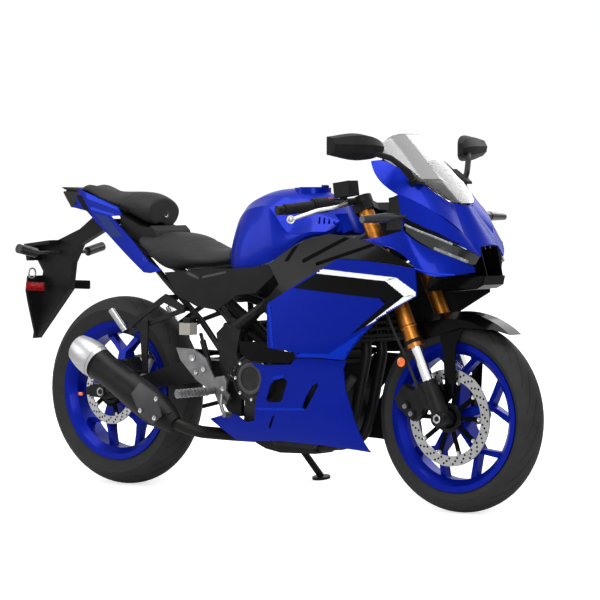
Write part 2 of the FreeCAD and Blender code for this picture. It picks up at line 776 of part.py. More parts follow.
def muffler_section(position, half_height, half_width):
    """Rounded five-sided section across the silencer's axis."""
    axis = (muffler_rear - muffler_front).normalize()
    centre = muffler_front + (muffler_rear - muffler_front) * position
    up = V(0, 1, 0).cross(axis).normalize()
    if up.z < 0:
        up = up * -1
    across = V(0, -1, 0)
    shape = [(-0.45, -1.0), (0.55, -0.95), (1.0, -0.2), (0.9, 0.55), (0.35, 1.0), (-0.55, 0.95), (-1.0, 0.2),
             (-0.95, -0.5)]
    points = [centre + across * (half_width * a) + up * (half_height * b) for a, b in shape]
    spline = Part.BSplineCurve()
    spline.interpolate(points, PeriodicFlag=True)
    return Part.Wire(spline.toShape())


def muffler():
    """Silencer can with a metal end cap, a heat shield and its hanger."""
    can = Part.makeLoft([muffler_section(0, 27, 27), muffler_section(0.1, 42, 38),
                         muffler_section(0.4, 51, 46), muffler_section(0.86, 52, 47)], True, False)
    cap = Part.makeLoft([muffler_section(0.862, 53, 48), muffler_section(0.96, 51, 46),
                         muffler_section(1.06, 41, 36)], True, False)
    axis = (muffler_rear - muffler_front).normalize()
    cap = cap.cut(Part.makeCylinder(20, 60, muffler_rear, axis))
    sleeve = Part.makeLoft([muffler_section(0.02, 36, 38), muffler_section(0.3, 54, 52),
                            muffler_section(0.52, 56, 52)], True, False)
    outline = [(372, 262), (396, 270), (394, 318), (374, 362), (300, 410), (246, 430), (222, 412), (238, 360)]
    shield = longest(sleeve.common(plate(outline, (-300, -222))).cut(can))
    hanger = plate([(184, 546), (220, 560), (216, 384), (196, 384)], (-139, -132.1))
    lug = block((198, 214), (-206, -134), (384, 394))
    hanger = longest(fused([hanger, lug]).cut(can).cut(pillion_hangers()))
    return group([can.cut(exhaust_headers()), cap, shield, hanger])


def radiator():
    """Water radiator behind the front wheel: core slats between two tanks, with its fan ring."""
    lean = 10.0
    width = 140.0
    slats = []
    for index in range(11):
        low = 12 + 20.5 * index
        slats.append(block((0, 22), (-width + 14, width - 14), (low, low + 9)))
    tanks = [block((-4, 28), (side * width - 16, side * width + 16), (0, 240)) for side in sides]
    rails = [block((-2, 26), (-width, width), (low, low + 8)) for low in (0, 232)]
    posts = [block((8, 16), (-4 + y, 4 + y), (4, 236)) for y in (-84, -28, 28, 84)]
    core = fused(slats + tanks + rails + posts)
    core.rotate(V(0, 0, 0), V(0, 1, 0), -lean)
    core.translate(V(1068, 0, 513))
    stays = [bar((984, side * 84, 712), (1044, side * 104, 702), 6).cut(core) for side in sides]
    return fused([core] + [longest(stay) for stay in stays]).cut(frame())


@functools.cache
def swingarm():
    """Box-section swingarm with chain adjusters and the rear axle."""
    arms = []
    for side in sides:
        low, high = sorted((side * arm_inner_y, side * arm_outer_y))
        arm = plate([(-58, 296), (-58, 334), (20, 344), (180, 376), (330, 424), (440, 430), (440, 368),
                     (330, 352), (180, 330), (20, 290)], (low, high))
        arms.append(arm)
        arms.append(plate([(-78, 300), (-58, 300), (-58, 330), (-78, 326)], (low + 4, high - 4)))
    bridge = plate([(372, 366), (540, 380), (572, 378), (594, 403), (572, 428), (540, 434), (372, 436)],
                   (-frame_plate_inner_y + 2, frame_plate_inner_y - 2))
    front = block((360, 446), (-arm_outer_y, arm_outer_y), (371, 427))
    linkage_room = block((395, 520), (-34, 60), (300, 500))
    shock_bolt = cross_pin(shock_foot_x, shock_foot_z, (-34, 60), shock_bolt_radius)
    shape = fused(arms + [bridge.cut(linkage_room), front.cut(linkage_room), shock_bolt])
    axle = cross_pin(0, rear_axle_z, (-132, 132), rear_axle_radius)
    shaft = cross_pin(pivot_x, pivot_z, (-frame_plate_inner_y - frame_plate_thickness - 10,
                                         frame_plate_inner_y + frame_plate_thickness + 10), pivot_shaft_radius)
    chain_slot = block((-200, 700), (chain_y - 14, arm_inner_y), (250, 500))
    chain_slot = chain_slot.cut(cross_pin(pivot_x, pivot_z, (0, 200), 11))
    spools = []
    for side in sides:
        low, high = sorted((side * arm_outer_y, side * spool_face_y))
        spools.append(cross_pin(spool_x, spool_z, (low, high), spool_boss_radius))
    hole = cross_pin(spool_x, spool_z, (-spool_face_y, spool_face_y), spool_hole_radius)
    arm_set = fused([shape.cut(chain_slot)] + spools).cut(hole)
    return fused([arm_set, axle, shaft])


def rear_shock():
    """Spring and damper between the swingarm and the frame's cross tube."""
    top = V(shock_top_x, shock_y, shock_top_z)
    foot = V(shock_foot_x, shock_y, shock_foot_z)
    length = (top - foot).Length
    spring_start = 40.0
    coil_count = 7
    pitch = (length - 2 * spring_start) / coil_count
    profile = [(0, 10), (14, 10), (14, spring_start - 8), (31, spring_start - 8), (31, spring_start)]
    for index in range(coil_count):
        low = spring_start + pitch * index
        profile += [(21, low), (21, low + 0.2 * pitch), (30, low + 0.4 * pitch), (30, low + 0.75 * pitch),
                    (21, low + 0.95 * pitch)]
    end = length - spring_start
    profile += [(21, end), (31, end), (31, end + 8), (17, end + 8), (17, length - 10), (0, length - 10)]
    corners = [V(radius, 0, along) for radius, along in profile]
    body = Part.Face(Part.makePolygon(corners + corners[:1])).revolve(V(0, 0, 0), V(0, 0, 1), 360)
    body.Placement = FreeCAD.Placement(foot, FreeCAD.Rotation(V(0, 0, 1), top - foot))
    eye_range = (shock_y - 12, shock_y + 12)
    eyes = [cross_pin(top.x, top.z, eye_range, 20), cross_pin(foot.x, foot.z, eye_range, 18)]
    shock = fused([body] + eyes)
    shock = shock.cut(cross_pin(top.x, top.z, (shock_y - 40, shock_y + 40), frame_cross_radius + slip_fit))
    return shock.cut(cross_pin(foot.x, foot.z, eye_range, shock_bolt_radius + slip_fit))


def drive_chain():
    """Closed chain loop over both sprockets, with the front sprocket."""
    rear_radius = sprocket_radius(rear_sprocket_teeth)
    front_radius = sprocket_radius(front_sprocket_teeth)
    loops = []
    for offset in (6.5, -6.5):
        loops.append(chain_outline(rear_radius + offset, front_radius + offset))
    link_range = (chain_y - chain_width / 2, chain_y + chain_width / 2)
    band = loops[0].extrude(V(0, chain_width, 0)).cut(loops[1].extrude(V(0, chain_width, 0)))
    band.translate(V(0, link_range[0], 0))
    tooth_path = chain_outline(rear_radius + 4, front_radius + 4).extrude(V(0, 8, 0))
    tooth_path.translate(V(0, chain_y - 4, 0))
    inner_path = chain_outline(rear_radius - 20, front_radius - 7).extrude(V(0, 200, 0))
    band = band.cut(tooth_path.cut(inner_path))
    front_centre = V(front_sprocket_x, 0, front_sprocket_z)
    front_sprocket = sprocket(front_centre, front_sprocket_teeth, 6.5, output_shaft_radius + slip_fit)
    rear_sprocket_room = sprocket(rear_axle, rear_sprocket_teeth, 9.0, 62.0)
    return group([band.cut(front_sprocket).cut(rear_sprocket_room), front_sprocket])


def chain_outline(rear_radius, front_radius):
    """Face inside the loop that hugs two circles round the sprocket centres."""
    ahead = V(front_sprocket_x, 0, front_sprocket_z) - V(0, 0, rear_axle_z)
    slope = math.atan2(ahead.z, ahead.x)
    lean = math.asin((rear_radius - front_radius) / ahead.Length)
    top_angle = slope + math.pi / 2 - lean
    bottom_angle = slope - math.pi / 2 + lean
    centres = (V(0, 0, rear_axle_z), V(front_sprocket_x, 0, front_sprocket_z))
    tops = []
    bottoms = []
    for centre, radius in zip(centres, (rear_radius, front_radius)):
        tops.append(centre + V(math.cos(top_angle), 0, math.sin(top_angle)) * radius)
        bottoms.append(centre + V(math.cos(bottom_angle), 0, math.sin(bottom_angle)) * radius)
    back = centres[0] - V(math.cos(slope), 0, math.sin(slope)) * rear_radius
    front = centres[1] + V(math.cos(slope), 0, math.sin(slope)) * front_radius
    edges = [
        Part.LineSegment(tops[0], tops[1]).toShape(),
        Part.Arc(tops[1], front, bottoms[1]).toShape(),
        Part.LineSegment(bottoms[1], bottoms[0]).toShape(),
        Part.Arc(bottoms[0], back, tops[0]).toShape(),
    ]
    return Part.Face(Part.Wire(edges))


def chain_guard():
    """Guard over the chain's upper run."""
    top = plate([(10, 448), (180, 456), (376, 452), (376, 447), (180, 451), (10, 443)], (76, 100))
    skirt = plate([(10, 448), (180, 456), (376, 452), (376, 440), (300, 436), (180, 414), (10, 408)], (100, 104))
    foot = plate([(340, 444), (376, 444), (376, 420), (340, 418)], (95, 104)).cut(swingarm())
    return fused([top, skirt, foot])


def rear_brake():
    """Single-piston caliper on its bracket, and the brake's reservoir by the right heel plate."""
    y = rear_disc_y
    outline = [(46, 372), (112, 360), (128, 388), (104, 420), (58, 424)]
    outer = plate(outline, (y - 36, y - 4))
    inner = plate(outline, (y + 4, y + 14))
    bridge = plate([(104, 420), (128, 388), (140, 394), (114, 432)], (y - 36, y + 14))
    bracket = plate([(-22, 318), (20, 296), (120, 352), (60, 380)], (y - 14, y - 8))
    bracket = bracket.cut(cross_pin(0, rear_axle_z, (-200, 200), rear_axle_radius))
    reservoir = block((382, 428), (-168, -132), (518, 556))
    cap = Part.makeCylinder(17, 16, V(405, -150, 556))
    strap = plate([(398, 520), (420, 520), (420, 580), (398, 580)], (-132, -128))
    neck = cross_pin(409, 570, (-128, -92), 5)
    reservoir = fused([reservoir, cap, strap, neck]).cut(frame())
    reservoir = longest(reservoir)
    return group([fused([outer, inner, bridge, bracket]).cut(swingarm()), reservoir])


def heel_plate():
    outline = [(353, 474), (428, 472), (479, 444), (512, 386), (580, 330), (566, 300), (520, 330),
               (440, 372), (371, 435)]
    body = plate(outline, (-150, -143))
    for x, z, radius in ((422, 444, 14), (439, 398, 9), (470, 410, 11)):
        body = body.cut(cross_pin(x, z, (-200, -100), radius))
    bosses = [cross_pin(540, 372, (-150, -frame_plate_inner_y - frame_plate_thickness), 13),
              cross_pin(548, 318, (-150, -frame_plate_inner_y - frame_plate_thickness), 13)]
    pads = plate([(520, 386), (556, 392), (566, 372), (562, 300), (534, 300), (512, 340)], (-150, -143))
    peg = bar((510, -150, 342), (478, -290, 338), 12)
    return fused([body, pads, peg] + bosses)


def rider_footrests():
    """Heel plates with pegs, the brake pedal on the right and the gear pedal on the left."""
    right = heel_plate()
    left = mirrored(right)
    brake = tube([(548, -152, 330), (562, -172, 300), (584, -187, 278), (612, -187, 273)], 6, 20)
    brake = fused([brake, cross_pin(612, 273, (-216, -184), 8)])
    gear = tube([(548, 156, 330), (580, 166, 330), (640, 168, 318)], 7, 24)
    gear = fused([gear, cross_pin(640, 318, (162, 216), 9)])
    return group([fused([right, brake]), fused([left, gear])])


@functools.cache
def pillion_hangers():
    """Open triangular brackets with folding pegs for the passenger."""
    outline = [(262, 630), (290, 646), (374, 606), (370, 588), (240, 548), (140, 506), (112, 514), (118, 540),
               (200, 590)]
    window = [(282, 618), (340, 596), (220, 556), (150, 526), (144, 534), (210, 578)]
    bracket = plate(outline, (-132, -124)).cut(plate(window, (-140, -120)))
    bosses = [cross_pin(354, 600, (-124, -90), 10), cross_pin(294, 632, (-124, -84), 11)]
    peg = bar((118, -134, 520), (62, -142, 588), 11)
    right = fused([bracket, peg] + bosses)
    right = right.cut(frame())
    return both_sides(right)


@functools.cache
def tank_solid():
    sections = [
        tank_section(520, 772, 60, (64, 786), (56, 802), (40, 812), 818),
        tank_section(545, 748, 104, (98, 800), (66, 870), (52, 886), 900),
        tank_section(575, 736, 128, (124, 806), (96, 890), (64, 922), 934),
        tank_section(620, 729, 142, (142, 812), (116, 918), (84, 946), 964),
        tank_section(680, 742, 146, (148, 826), (132, 932), (84, 966), 985),
        tank_section(740, 757, 150, (154, 840), (142, 927), (84, 966), 990),
        tank_section(800, 785, 152, (156, 824), (148, 866), (90, 950), 990),
        tank_section(860, 820, 150, (156, 832), (156, 846), (98, 926), 977),
        tank_section(920, 838, 136, (150, 844), (154, 856), (106, 908), 950),
        tank_section(985, 850, 110, (132, 855), (141, 864), (104, 891), 923),
        tank_section(1040, 868, 84, (104, 872), (112, 879), (84, 892), 904),
    ]
    return Part.makeLoft(sections, True, False)


def filler_neck():
    return Part.makeCylinder(filler_radius, filler_depth, V(filler_x, 0, cap_top_z - cap_height - filler_depth))


def cap_room():
    """Recess that the cap and its hinge lie in, open at the top."""
    base = cap_top_z - cap_height - seat_gap
    return Part.makeCylinder(cap_radius + cap_side_gap, 60, V(filler_x, 0, base))


def stem_room():
    """Space that the clamps and fork tubes sweep between the locks."""
    low = lower_clamp_position - 60
    rooms = [Part.makeCylinder(fork_offset + 46, 400, V(0, 0, low))]
    for radius, reach in ((122, 100), (144, 88)):
        left = Part.makeCylinder(radius, 400, V(0, 0, low), V(0, 0, 1), reach + steering_lock)
        rooms += [left, mirrored(left)]
    room = fused(rooms)
    room.translate(V(-fork_offset, 0, 0))
    return on_fork(room)


def fuel_tank():
    """Fuel tank with its cover's knee sides, side vents and the filler neck."""
    tank = tank_solid().cut(filler_neck()).cut(cap_room())
    for index in range(4):
        x = 908 + 17 * index
        vent = plate([(x, 912), (x + 7, 912), (x + 24, 880), (x + 17, 880)], (-400, 400))
        vent = vent.cut(block((800, 1100), (-112, 112), (800, 1000)))
        tank = tank.cut(vent)
    ring_outer = Part.makeCylinder(cap_radius + 14, 26, V(filler_x, 0, cap_top_z - 28))
    ring = ring_outer.cut(cap_room()).cut(filler_neck())
    hinge = cap_hinge()
    inner = cap_hinge_half_width + seat_gap
    lugs = []
    for side in sides:
        low, high = sorted((side * inner, side * (inner + 6)))
        lugs.append(cross_pin(hinge.x, hinge.z, (low, high), cap_hinge_radius))
        lugs.append(block((hinge.x - 4, hinge.x + 4), (low, high), (cap_top_z - 12, hinge.z)))
    return fused([tank, ring] + lugs).cut(stem_room())


def fuel_cap():
    """Locking filler cap, hinged at its front edge."""
    base = cap_top_z - cap_height
    cap = Part.makeCylinder(cap_radius, cap_height, V(filler_x, 0, base))
    recess = Part.makeCylinder(cap_radius - 10, 3, V(filler_x, 0, cap_top_z - 3))
    boss = Part.makeCylinder(14, 3, V(filler_x - 8, 0, cap_top_z - 3))
    hinge = cap_hinge()
    half = cap_hinge_half_width
    arm = block((filler_x + cap_radius - 4, hinge.x), (-half, half), (cap_top_z - 1, hinge.z + 1))
    knuckle = cross_pin(hinge.x, hinge.z, (-half, half), cap_hinge_radius)
    return fused([cap.cut(recess), boss, arm, knuckle])


def rider_seat():
    sections = [
        body_section(152, [(0, 800), (90, 806), (112, 818), (88, 834), (0, 842)]),
        body_section(200, [(0, 776), (108, 778), (130, 792), (102, 824), (0, 845)]),
        body_section(270, [(0, 730), (108, 731), (134, 758), (102, 816), (0, 843)]),
        body_section(340, [(0, 728), (108, 729), (132, 756), (96, 804), (0, 828)]),
        body_section(435, [(0, 732), (94, 733), (114, 752), (84, 780), (0, 790)]),
        body_section(500, [(0, 738), (84, 740), (102, 756), (74, 784), (0, 799)]),
        body_section(545, [(0, 746), (72, 748), (90, 762), (66, 786), (0, 806)]),
    ]
    pad = Part.makeLoft(sections, True, False)
    for neighbour in (tank_solid(), seat_bridge(), frame(), tail_panels(), cover_skin(), mirrored(cover_skin())):
        pad = longest(pad.cut(neighbour))
    return pad


@functools.cache
def pillion_seat():
    sections = [
        body_section(-165, [(0, 972), (38, 974), (48, 979), (36, 986), (0, 991)]),
        body_section(-60, [(0, 946), (58, 950), (70, 960), (52, 975), (0, 982)]),
        body_section(40, [(0, 914), (68, 920), (84, 935), (62, 962), (0, 976)]),
        body_section(95, [(0, 894), (72, 902), (90, 924), (68, 960), (0, 976)]),
        body_section(150, [(0, 872), (60, 876), (84, 918), (56, 952), (0, 966)]),
        body_section(172, [(0, 868), (48, 870), (74, 918), (46, 946), (0, 956)]),
    ]
    return longest(Part.makeLoft(sections, True, False).cut(tail_panels()))


@functools.cache
def seat_bridge():
    """Body of the tail between the two seats."""
    outline = [(52, 905), (90, 886), (148, 862), (176, 858), (188, 866), (206, 850), (214, 828), (170, 796),
               (112, 822), (60, 850)]
    bridge = plate(outline, (-88, 88)).cut(pillion_seat()).cut(frame())
    return longest(bridge.cut(tail_panels()))


@functools.cache
def cover_skin():
    """Skin of the right-hand cover under the seat and tank."""
    outline = [(285, 716), (345, 645), (432, 610), (520, 600), (612, 651), (690, 660), (785, 734), (733, 748),
               (620, 736), (500, 733)]
    grid = {
        590: [(260, 120), (400, 138), (560, 146), (800, 152)],
        660: [(260, 124), (400, 142), (560, 150), (800, 156)],
        760: [(260, 128), (400, 144), (560, 152), (800, 158)],
    }
    return bowed_panel(outline, grid, panel_wall)


def side_covers():
    """Black covers under the seats and tank."""
    right = pegged(cover_skin(), [(470, 640, 100)], frame())
    return group([right, mirrored(right), seat_bridge()])


@functools.cache
def tail_panels():
    """Coloured tail sides that rise to the rear tip."""
    outline = [(-250, 992), (-147, 980), (-60, 957), (58, 926), (80, 899), (20, 896), (122, 829), (146, 812),
               (224, 748), (284, 723), (228, 712), (196, 714), (60, 800), (-70, 880), (-120, 912), (-205, 925)]
    grid = {
        700: [(-280, 30), (-100, 62), (60, 106), (280, 140)],
        820: [(-280, 32), (-100, 66), (60, 108), (280, 138)],
        900: [(-280, 34), (-100, 70), (60, 106), (280, 132)],
        1010: [(-280, 24), (-100, 56), (60, 92), (280, 120)],
    }
    right = pegged(bowed_panel(outline, grid, panel_wall), [(60, 830, 66)], frame())
    top = plate([(-252, 992), (-150, 988), (-60, 973), (-60, 966), (-150, 980), (-240, 984)], (-46, 46))
    return group([right, mirrored(right), top.cut(right).cut(mirrored(right)).Solids[0]])


def rear_lamps():
    """Tail lamp under the tail tip, indicators on short stalks and side reflectors."""
    lamp = plate([(-206, 924), (-240, 978), (-150, 974), (-120, 914)], (-50, 50))
    pieces = [longest(lamp.cut(tail_panels()).cut(plate_holder()).cut(pillion_seat()))]
    for side in sides:
        low, high = sorted((side * 14, side * 150))
        stalk = cross_pin(-296, 770, (low, high), 7)
        shell = bar((-296, side * 128, 770), (-300, side * 206, 786), 16)
        pieces.append(fused([stalk, shell]))
    return group(pieces)


@functools.cache
def plate_holder():
    """Rear fender that carries the number plate, with the plate's two bolt holes."""
    outline = [(-118, 905), (-62, 865.7), (-24, 865.7), (-24, 856), (-72, 856), (-200, 796), (-236, 735),
               (-250, 644), (-400, 480), (-423, 472), (-372, 704), (-398, 741), (-408, 796), (-300, 812),
               (-200, 850)]
    body = plate(outline, (-13.7, 13.7))
    flap = plate([(-376, 690), (-368, 690), (-404, 474), (-412, 474)], (-88, 88))
    taper = [V(-500, y, z) for y, z in ((-88, 700), (88, 700), (88, 640), (70, 596), (12, 470), (-12, 470),
                                        (-70, 596), (-88, 640))]
    flap = flap.common(Part.Face(Part.makePolygon(taper + taper[:1])).extrude(V(300, 0, 0)))
    crown = plate([(-288, 812), (-407, 798), (-396, 741), (-380, 741), (-388, 790), (-290, 800)], (-70, 70))
    fender = fused([body, flap, crown])
    for side in sides:
        hole_start = V(plate_bolt_x, side * plate_bolt_y, plate_bolt_z) - plate_normal * 30
        fender = fender.cut(Part.makeCylinder(plate_bolt_radius, 60, hole_start, plate_normal))
    for y in (-1, 1):
        fender = fender.cut(cross_pin(-296, 770, tuple(sorted((y * 13.7, y * 20))), 7))
    return fender


# Fairing lines on the right, as (x, half-width, z): they name the shared edges of the nose

screen_edge = [(1178, 130, 1079), (1283, 128, 1028), (1332, 98, 990), (1376, 40, 950), (1405, 0, 938)]
crease = [(1146, 148, 1075), (1264, 172, 976), (1375, 135, 921), (1444, 76, 853)]
slot_top = [(1299, 190, 883), (1335, 180, 869), (1396, 158, 849), (1447, 122, 824), (1496, 58, 786)]
slot_bottom = [(1301, 192, 865), (1352, 174, 824), (1431, 135, 787), (1476, 62, 752)]
cheek_bottom = [(1349, 196, 752), (1390, 160, 728), (1442, 118, 730), (1476, 62, 738)]


def right_line(points):
    return [(x, -half_width, z) for x, half_width, z in points]


@functools.cache
def nose_cowl():
    """Upper nose: forehead, upper flanks and the cheeks below the lamps."""
    flank_top = crease[1:]
    forehead = creased_panel([right_line(screen_edge[:4]), right_line(crease)], (-3, 3, -3))
    middle_front = [(1483, -48, 816), (1487, 0, 822), (1483, 48, 816)]
    middle_back = [(1376, -40, 950), (1405, 0, 938), (1376, 40, 950)]
    brow = Part.makeRuledSurface(curve(middle_back), curve(middle_front)).extrude(V(-3, 0, -4))
    corner_lines = [[(1376, -40, 950), (1483, -48, 816)], [(1444, -76, 853), (1496, -58, 786)]]
    corner = creased_panel(corner_lines, (-4, 1, -2))
    flank = creased_panel([right_line(flank_top), right_line(slot_top)], (-2, 4, -1))
    cheek = creased_panel([right_line(slot_bottom), right_line(cheek_bottom)], (-2, 4, 0))
    rear = creased_panel([[(1138, -182, 836), (1216, -190, 845), (1301, -192, 865)],
                          [(1216, -196, 818), (1290, -200, 800), (1349, -196, 752)]], (0, 4, 0))
    join = creased_panel([[(1299, -190, 883), (1301, -192, 865)], [(1288, -184, 880), (1290, -186, 860)]], (0, 4, 0))
    right = fused([forehead, corner, flank, join])
    lower = fused([cheek, rear])
    whole = fused([right, mirrored(right), brow, lower, mirrored(lower)])
    return whole


@functools.cache
def nose_intake():
    """Black centre of the nose: the intake's frame, chin and the lamp slots' floors."""
    outer = creased_panel([[(1483, -48, 813), (1505, -42, 727)], [(1420, -36, 800), (1440, -32, 720)]], (0, 5, 0))
    chin = plate([(1506, 727), (1500, 700), (1476, 688), (1350, 676), (1350, 684), (1440, 704), (1440, 724)],
                 (-52, 52))
    wings = creased_panel([[(1500, -52, 727), (1442, -112, 724), (1378, -160, 718)],
                           [(1476, -52, 690), (1388, -100, 684), (1353, -140, 678)]], (-4, 3, 3))
    back = plate([(1420, 806), (1426, 806), (1442, 716), (1436, 716)], (-36, 36))
    return fused([outer, mirrored(outer), chin, back, wings, mirrored(wings)])


@functools.cache
def headlights():
    """Slanted twin lamps, one in each slot of the nose."""
    inset = [(x - 12, half_width - 9, z) for x, half_width, z in slot_top]
    inset_low = [(x - 12, half_width - 9, z) for x, half_width, z in slot_bottom]
    lamp = creased_panel([right_line(inset), right_line(inset_low)], (-16, 16, 0))
    return both_sides(longest(lamp.cut(nose_intake()).cut(nose_cowl())))


@functools.cache
def windscreen():
    """Clear bubble screen."""
    centre = [(1178, 1159), (1262, 1082), (1340, 1006), (1399, 946)]
    edge = [(1150, 128, 1100), (1222, 129.5, 1058), (1292, 121, 1018), (1345, 86, 978)]
    sections = []
    for (centre_x, centre_z), (edge_x, half_width, edge_z) in zip(centre, edge):
        shoulder = V(centre_x * 0.7 + edge_x * 0.3, 0, centre_z * 0.78 + edge_z * 0.22)
        section = [V(edge_x, -half_width, edge_z), shoulder - V(0, half_width * 0.72, 0), V(centre_x, 0, centre_z),
                   shoulder + V(0, half_width * 0.72, 0), V(edge_x, half_width, edge_z)]
        sections.append(section)
    surface = Part.BSplineSurface()
    surface.interpolate(sections)
    return surface.toShape().extrude(V(-2, 0, -3))


def mirrors():
    """Mirror heads on short stalks from the nose."""
    foot = bar((1292, -128, 1008), (1296, -140, 1022), 14)
    stalk = tube([(1294, -134, 1014), (1292, -150, 1040), (1262, -200, 1082), (1216, -262, 1104)], 9, 20)
    head = Part.makeLoft([mirror_section(-206, 0.55), mirror_section(-240, 0.95), mirror_section(-320, 1.0),
                          mirror_section(-392, 0.72)], True, False)
    return both_sides(longest(fused([foot, stalk, head]).cut(nose_cowl()).cut(windscreen())))


def mirror_section(y, scale):
    """Section of a mirror head, flat at the back where the glass lies."""
    sweep = (-206 - y) * 0.25
    centre = V(1226 - sweep, y, 1112 + (-206 - y) * 0.03)
    shape = [(-20, -36), (2, -34), (22, -16), (26, 8), (10, 34), (-20, 40)]
    points = [centre + V(x * scale, 0, z * scale) for x, z in shape]
    return Part.makePolygon(points + points[:1])


def cockpit_panels():
    """Instrument housing on its stay and the inner side panels of the nose."""
    dash = plate([(1216, 1000), (1262, 1010), (1300, 980), (1262, 930), (1236, 930)], (-66, 66))
    roots = [fork_point(head_tube_radius - fork_offset - 8, 0, along) for along in (604, 660)]
    ends = [fork_point(170, 0, along) for along in (660, 624)]
    stay = plate([(point.x, point.z) for point in roots + ends], (-16, 16)).cut(frame())
    stay = longest(stay)
    arm = plate([(1268, 930), (1286, 938), (1326, 968), (1300, 980), (1262, 936)], (-16, 16))
    crossbar = cross_pin(1304, 986, (-124, 124), 9)
    stay = fused([stay, arm, crossbar])
    inner = creased_panel([[(1252, -162, 968), (1288, -176, 920), (1294, -184, 868)],
                           [(1208, -142, 962), (1214, -150, 912), (1214, -164, 864)]], (-3, 4, 0))
    floor = creased_panel([[(1294, -184, 866), (1216, -186, 852), (1140, -178, 838)],
                           [(1214, -164, 862), (1170, -158, 866), (1078, -158, 858)]], (0, 2, -4))
    side = longest(fused([inner, floor]).cut(nose_cowl()).cut(headlights()))
    middle = longest(fused([dash, stay]).cut(nose_cowl()).cut(windscreen()))
    return group([middle, side, mirrored(side)])


side_grid = {
    430: [(760, 203), (900, 208), (1040, 206), (1200, 188), (1380, 170)],
    560: [(760, 207), (900, 214), (1040, 214), (1200, 202), (1380, 184)],
    680: [(760, 207), (900, 214), (1040, 215), (1200, 207), (1380, 190)],
    800: [(760, 203), (900, 208), (1040, 209), (1200, 205), (1380, 194)],
}


def side_fairings():
    """Large side panels of the fairing."""
    outline = [(785, 631), (1063, 775), (1165, 771), (1284, 759), (1349, 750), (1352, 668), (1279, 630),
               (1217, 597), (1146, 534), (1103, 486), (1089, 465), (984, 469), (899, 466), (893, 483),
               (782, 492), (781, 616)]
    panel = bowed_panel(outline, side_grid, panel_wall)
    return both_sides(pegged(panel, [(936, 622, 112), (862, 575, 112)], frame()))


def infill_panels():
    """Gloss black panels between tank and fairing, and the black wings behind the fairing."""
    upper_outline = [(752, 752), (816, 789), (910, 833), (1001, 851), (1136, 835), (1214, 817), (1350, 754),
                     (1284, 760), (1165, 772), (1063, 776), (785, 632), (700, 590), (690, 600), (800, 690)]
    upper_grid = {
        560: [(680, 150), (850, 180), (1020, 204), (1180, 205), (1370, 194)],
        680: [(680, 154), (850, 182), (1020, 205), (1180, 206), (1370, 195)],
        780: [(680, 150), (850, 172), (1020, 186), (1180, 198), (1370, 194)],
        860: [(680, 146), (850, 164), (1020, 168), (1180, 184), (1370, 190)],
    }
    upper = bowed_panel(upper_outline, upper_grid, panel_wall)
    wing = bowed_panel([(653, 508), (790, 508), (816, 486), (905, 479), (901, 464), (863, 446), (704, 446),
                        (659, 468)], side_grid_wing, panel_wall)
    upper = pegged(longest(upper), [(820, 694, 112)], frame())
    wing = pegged(longest(wing), [(740, 455, 88)], engine())
    return both_sides(group([upper, wing]))


side_grid_wing = {
    430: [(640, 188), (760, 198), (920, 204)],
    520: [(640, 190), (760, 200), (920, 207)],
}


@functools.cache
def lower_cowl_right():
    outline = [(1087, 462), (1074, 436), (1073, 370), (1094, 285), (1134, 178), (1086, 183), (955, 192),
               (782, 197), (706, 191), (606, 186), (570, 212), (501, 252), (585, 274), (623, 274), (667, 251),
               (703, 257), (714, 318), (747, 391), (743, 417), (706, 443), (772, 437), (873, 442), (893, 461),
               (945, 465)]
    grid = {
        165: [(480, 112), (640, 120), (800, 122), (960, 122), (1150, 114)],
        215: [(480, 142), (640, 160), (800, 164), (960, 164), (1150, 150)],
        320: [(480, 162), (640, 178), (800, 186), (960, 184), (1150, 162)],
        420: [(480, 176), (640, 190), (800, 199), (960, 200), (1150, 178)],
        480: [(480, 182), (640, 196), (800, 204), (960, 205), (1150, 184)],
    }
    shell = bowed_panel(outline, grid, panel_wall)
    window = [(799, 390), (841, 400), (854, 388), (826, 328), (808, 320), (765, 320), (760, 329), (780, 372)]
    slot = [(973, 391), (975, 381), (919, 305), (903, 308), (922, 345), (953, 380)]
    small_slot = [(791, 279), (766, 235), (758, 241), (780, 276)]
    for opening in (window, slot, small_slot):
        shell = shell.cut(plate(opening, (-400, 0)))
    return shell


def lower_cowls():
    """Lower side panels with their windows, the left one cut short for the side stand."""
    spots = [(930, 300, 90), (760, 428, 90)]
    right = pegged(lower_cowl_right(), spots, engine())
    left_hand = lower_cowl_right().cut(block((400, 672), (-400, 0), (100, 330)))
    left = mirrored(pegged(longest(left_hand), spots, mirrored(engine())))
    return group([right, left])


def front_indicators():
    """Indicators on rubber stalks from the nose sides."""
    stalk = bar((1300, -176, 905), (1296, -234, 904), 7)
    socket = bar((1296, -232, 904), (1294, -268, 903), 13)
    lens = Part.makeCone(15, 11, 102, V(1294, -266, 903), V(-0.14, -0.99, -0.03))
    return both_sides(longest(fused([stalk, socket, lens]).cut(nose_cowl())))


# Side stand


def side_stand():
    """Tube leg with a hinge eye at the top and a flat sole on the ground."""
    hinge_point, hinge_axis = stand_hinge()
    down = V(0, math.sin(lean), -math.cos(lean))
    foot = V(stand_foot_x, stand_foot_y, ground_height(stand_foot_y, stand_sole_thickness))
    leg = bar(hinge_point, foot, stand_tube_radius)
    leg = leg.cut(Part.makeCylinder(120, 40, foot, down))
    half_eye = hinge_axis * (stand_eye_thickness / 2)
    eye = Part.makeCylinder(stand_eye_radius, stand_eye_thickness, hinge_point - half_eye, hinge_axis)
    sole = Part.makeCylinder(30, stand_sole_thickness, foot, down)
    hole = Part.makeCylinder(stand_pin_radius + running_fit, 80, hinge_point - hinge_axis * 40, hinge_axis)
    clear = Part.makeCylinder(stand_eye_radius + 8, 40, hinge_point + half_eye, hinge_axis)
    inner_clear = Part.makeCylinder(stand_eye_radius + 8, 40, hinge_point - half_eye, hinge_axis * -1)
    return fused([leg.cut(clear).cut(inner_clear), eye, sole]).cut(hole)


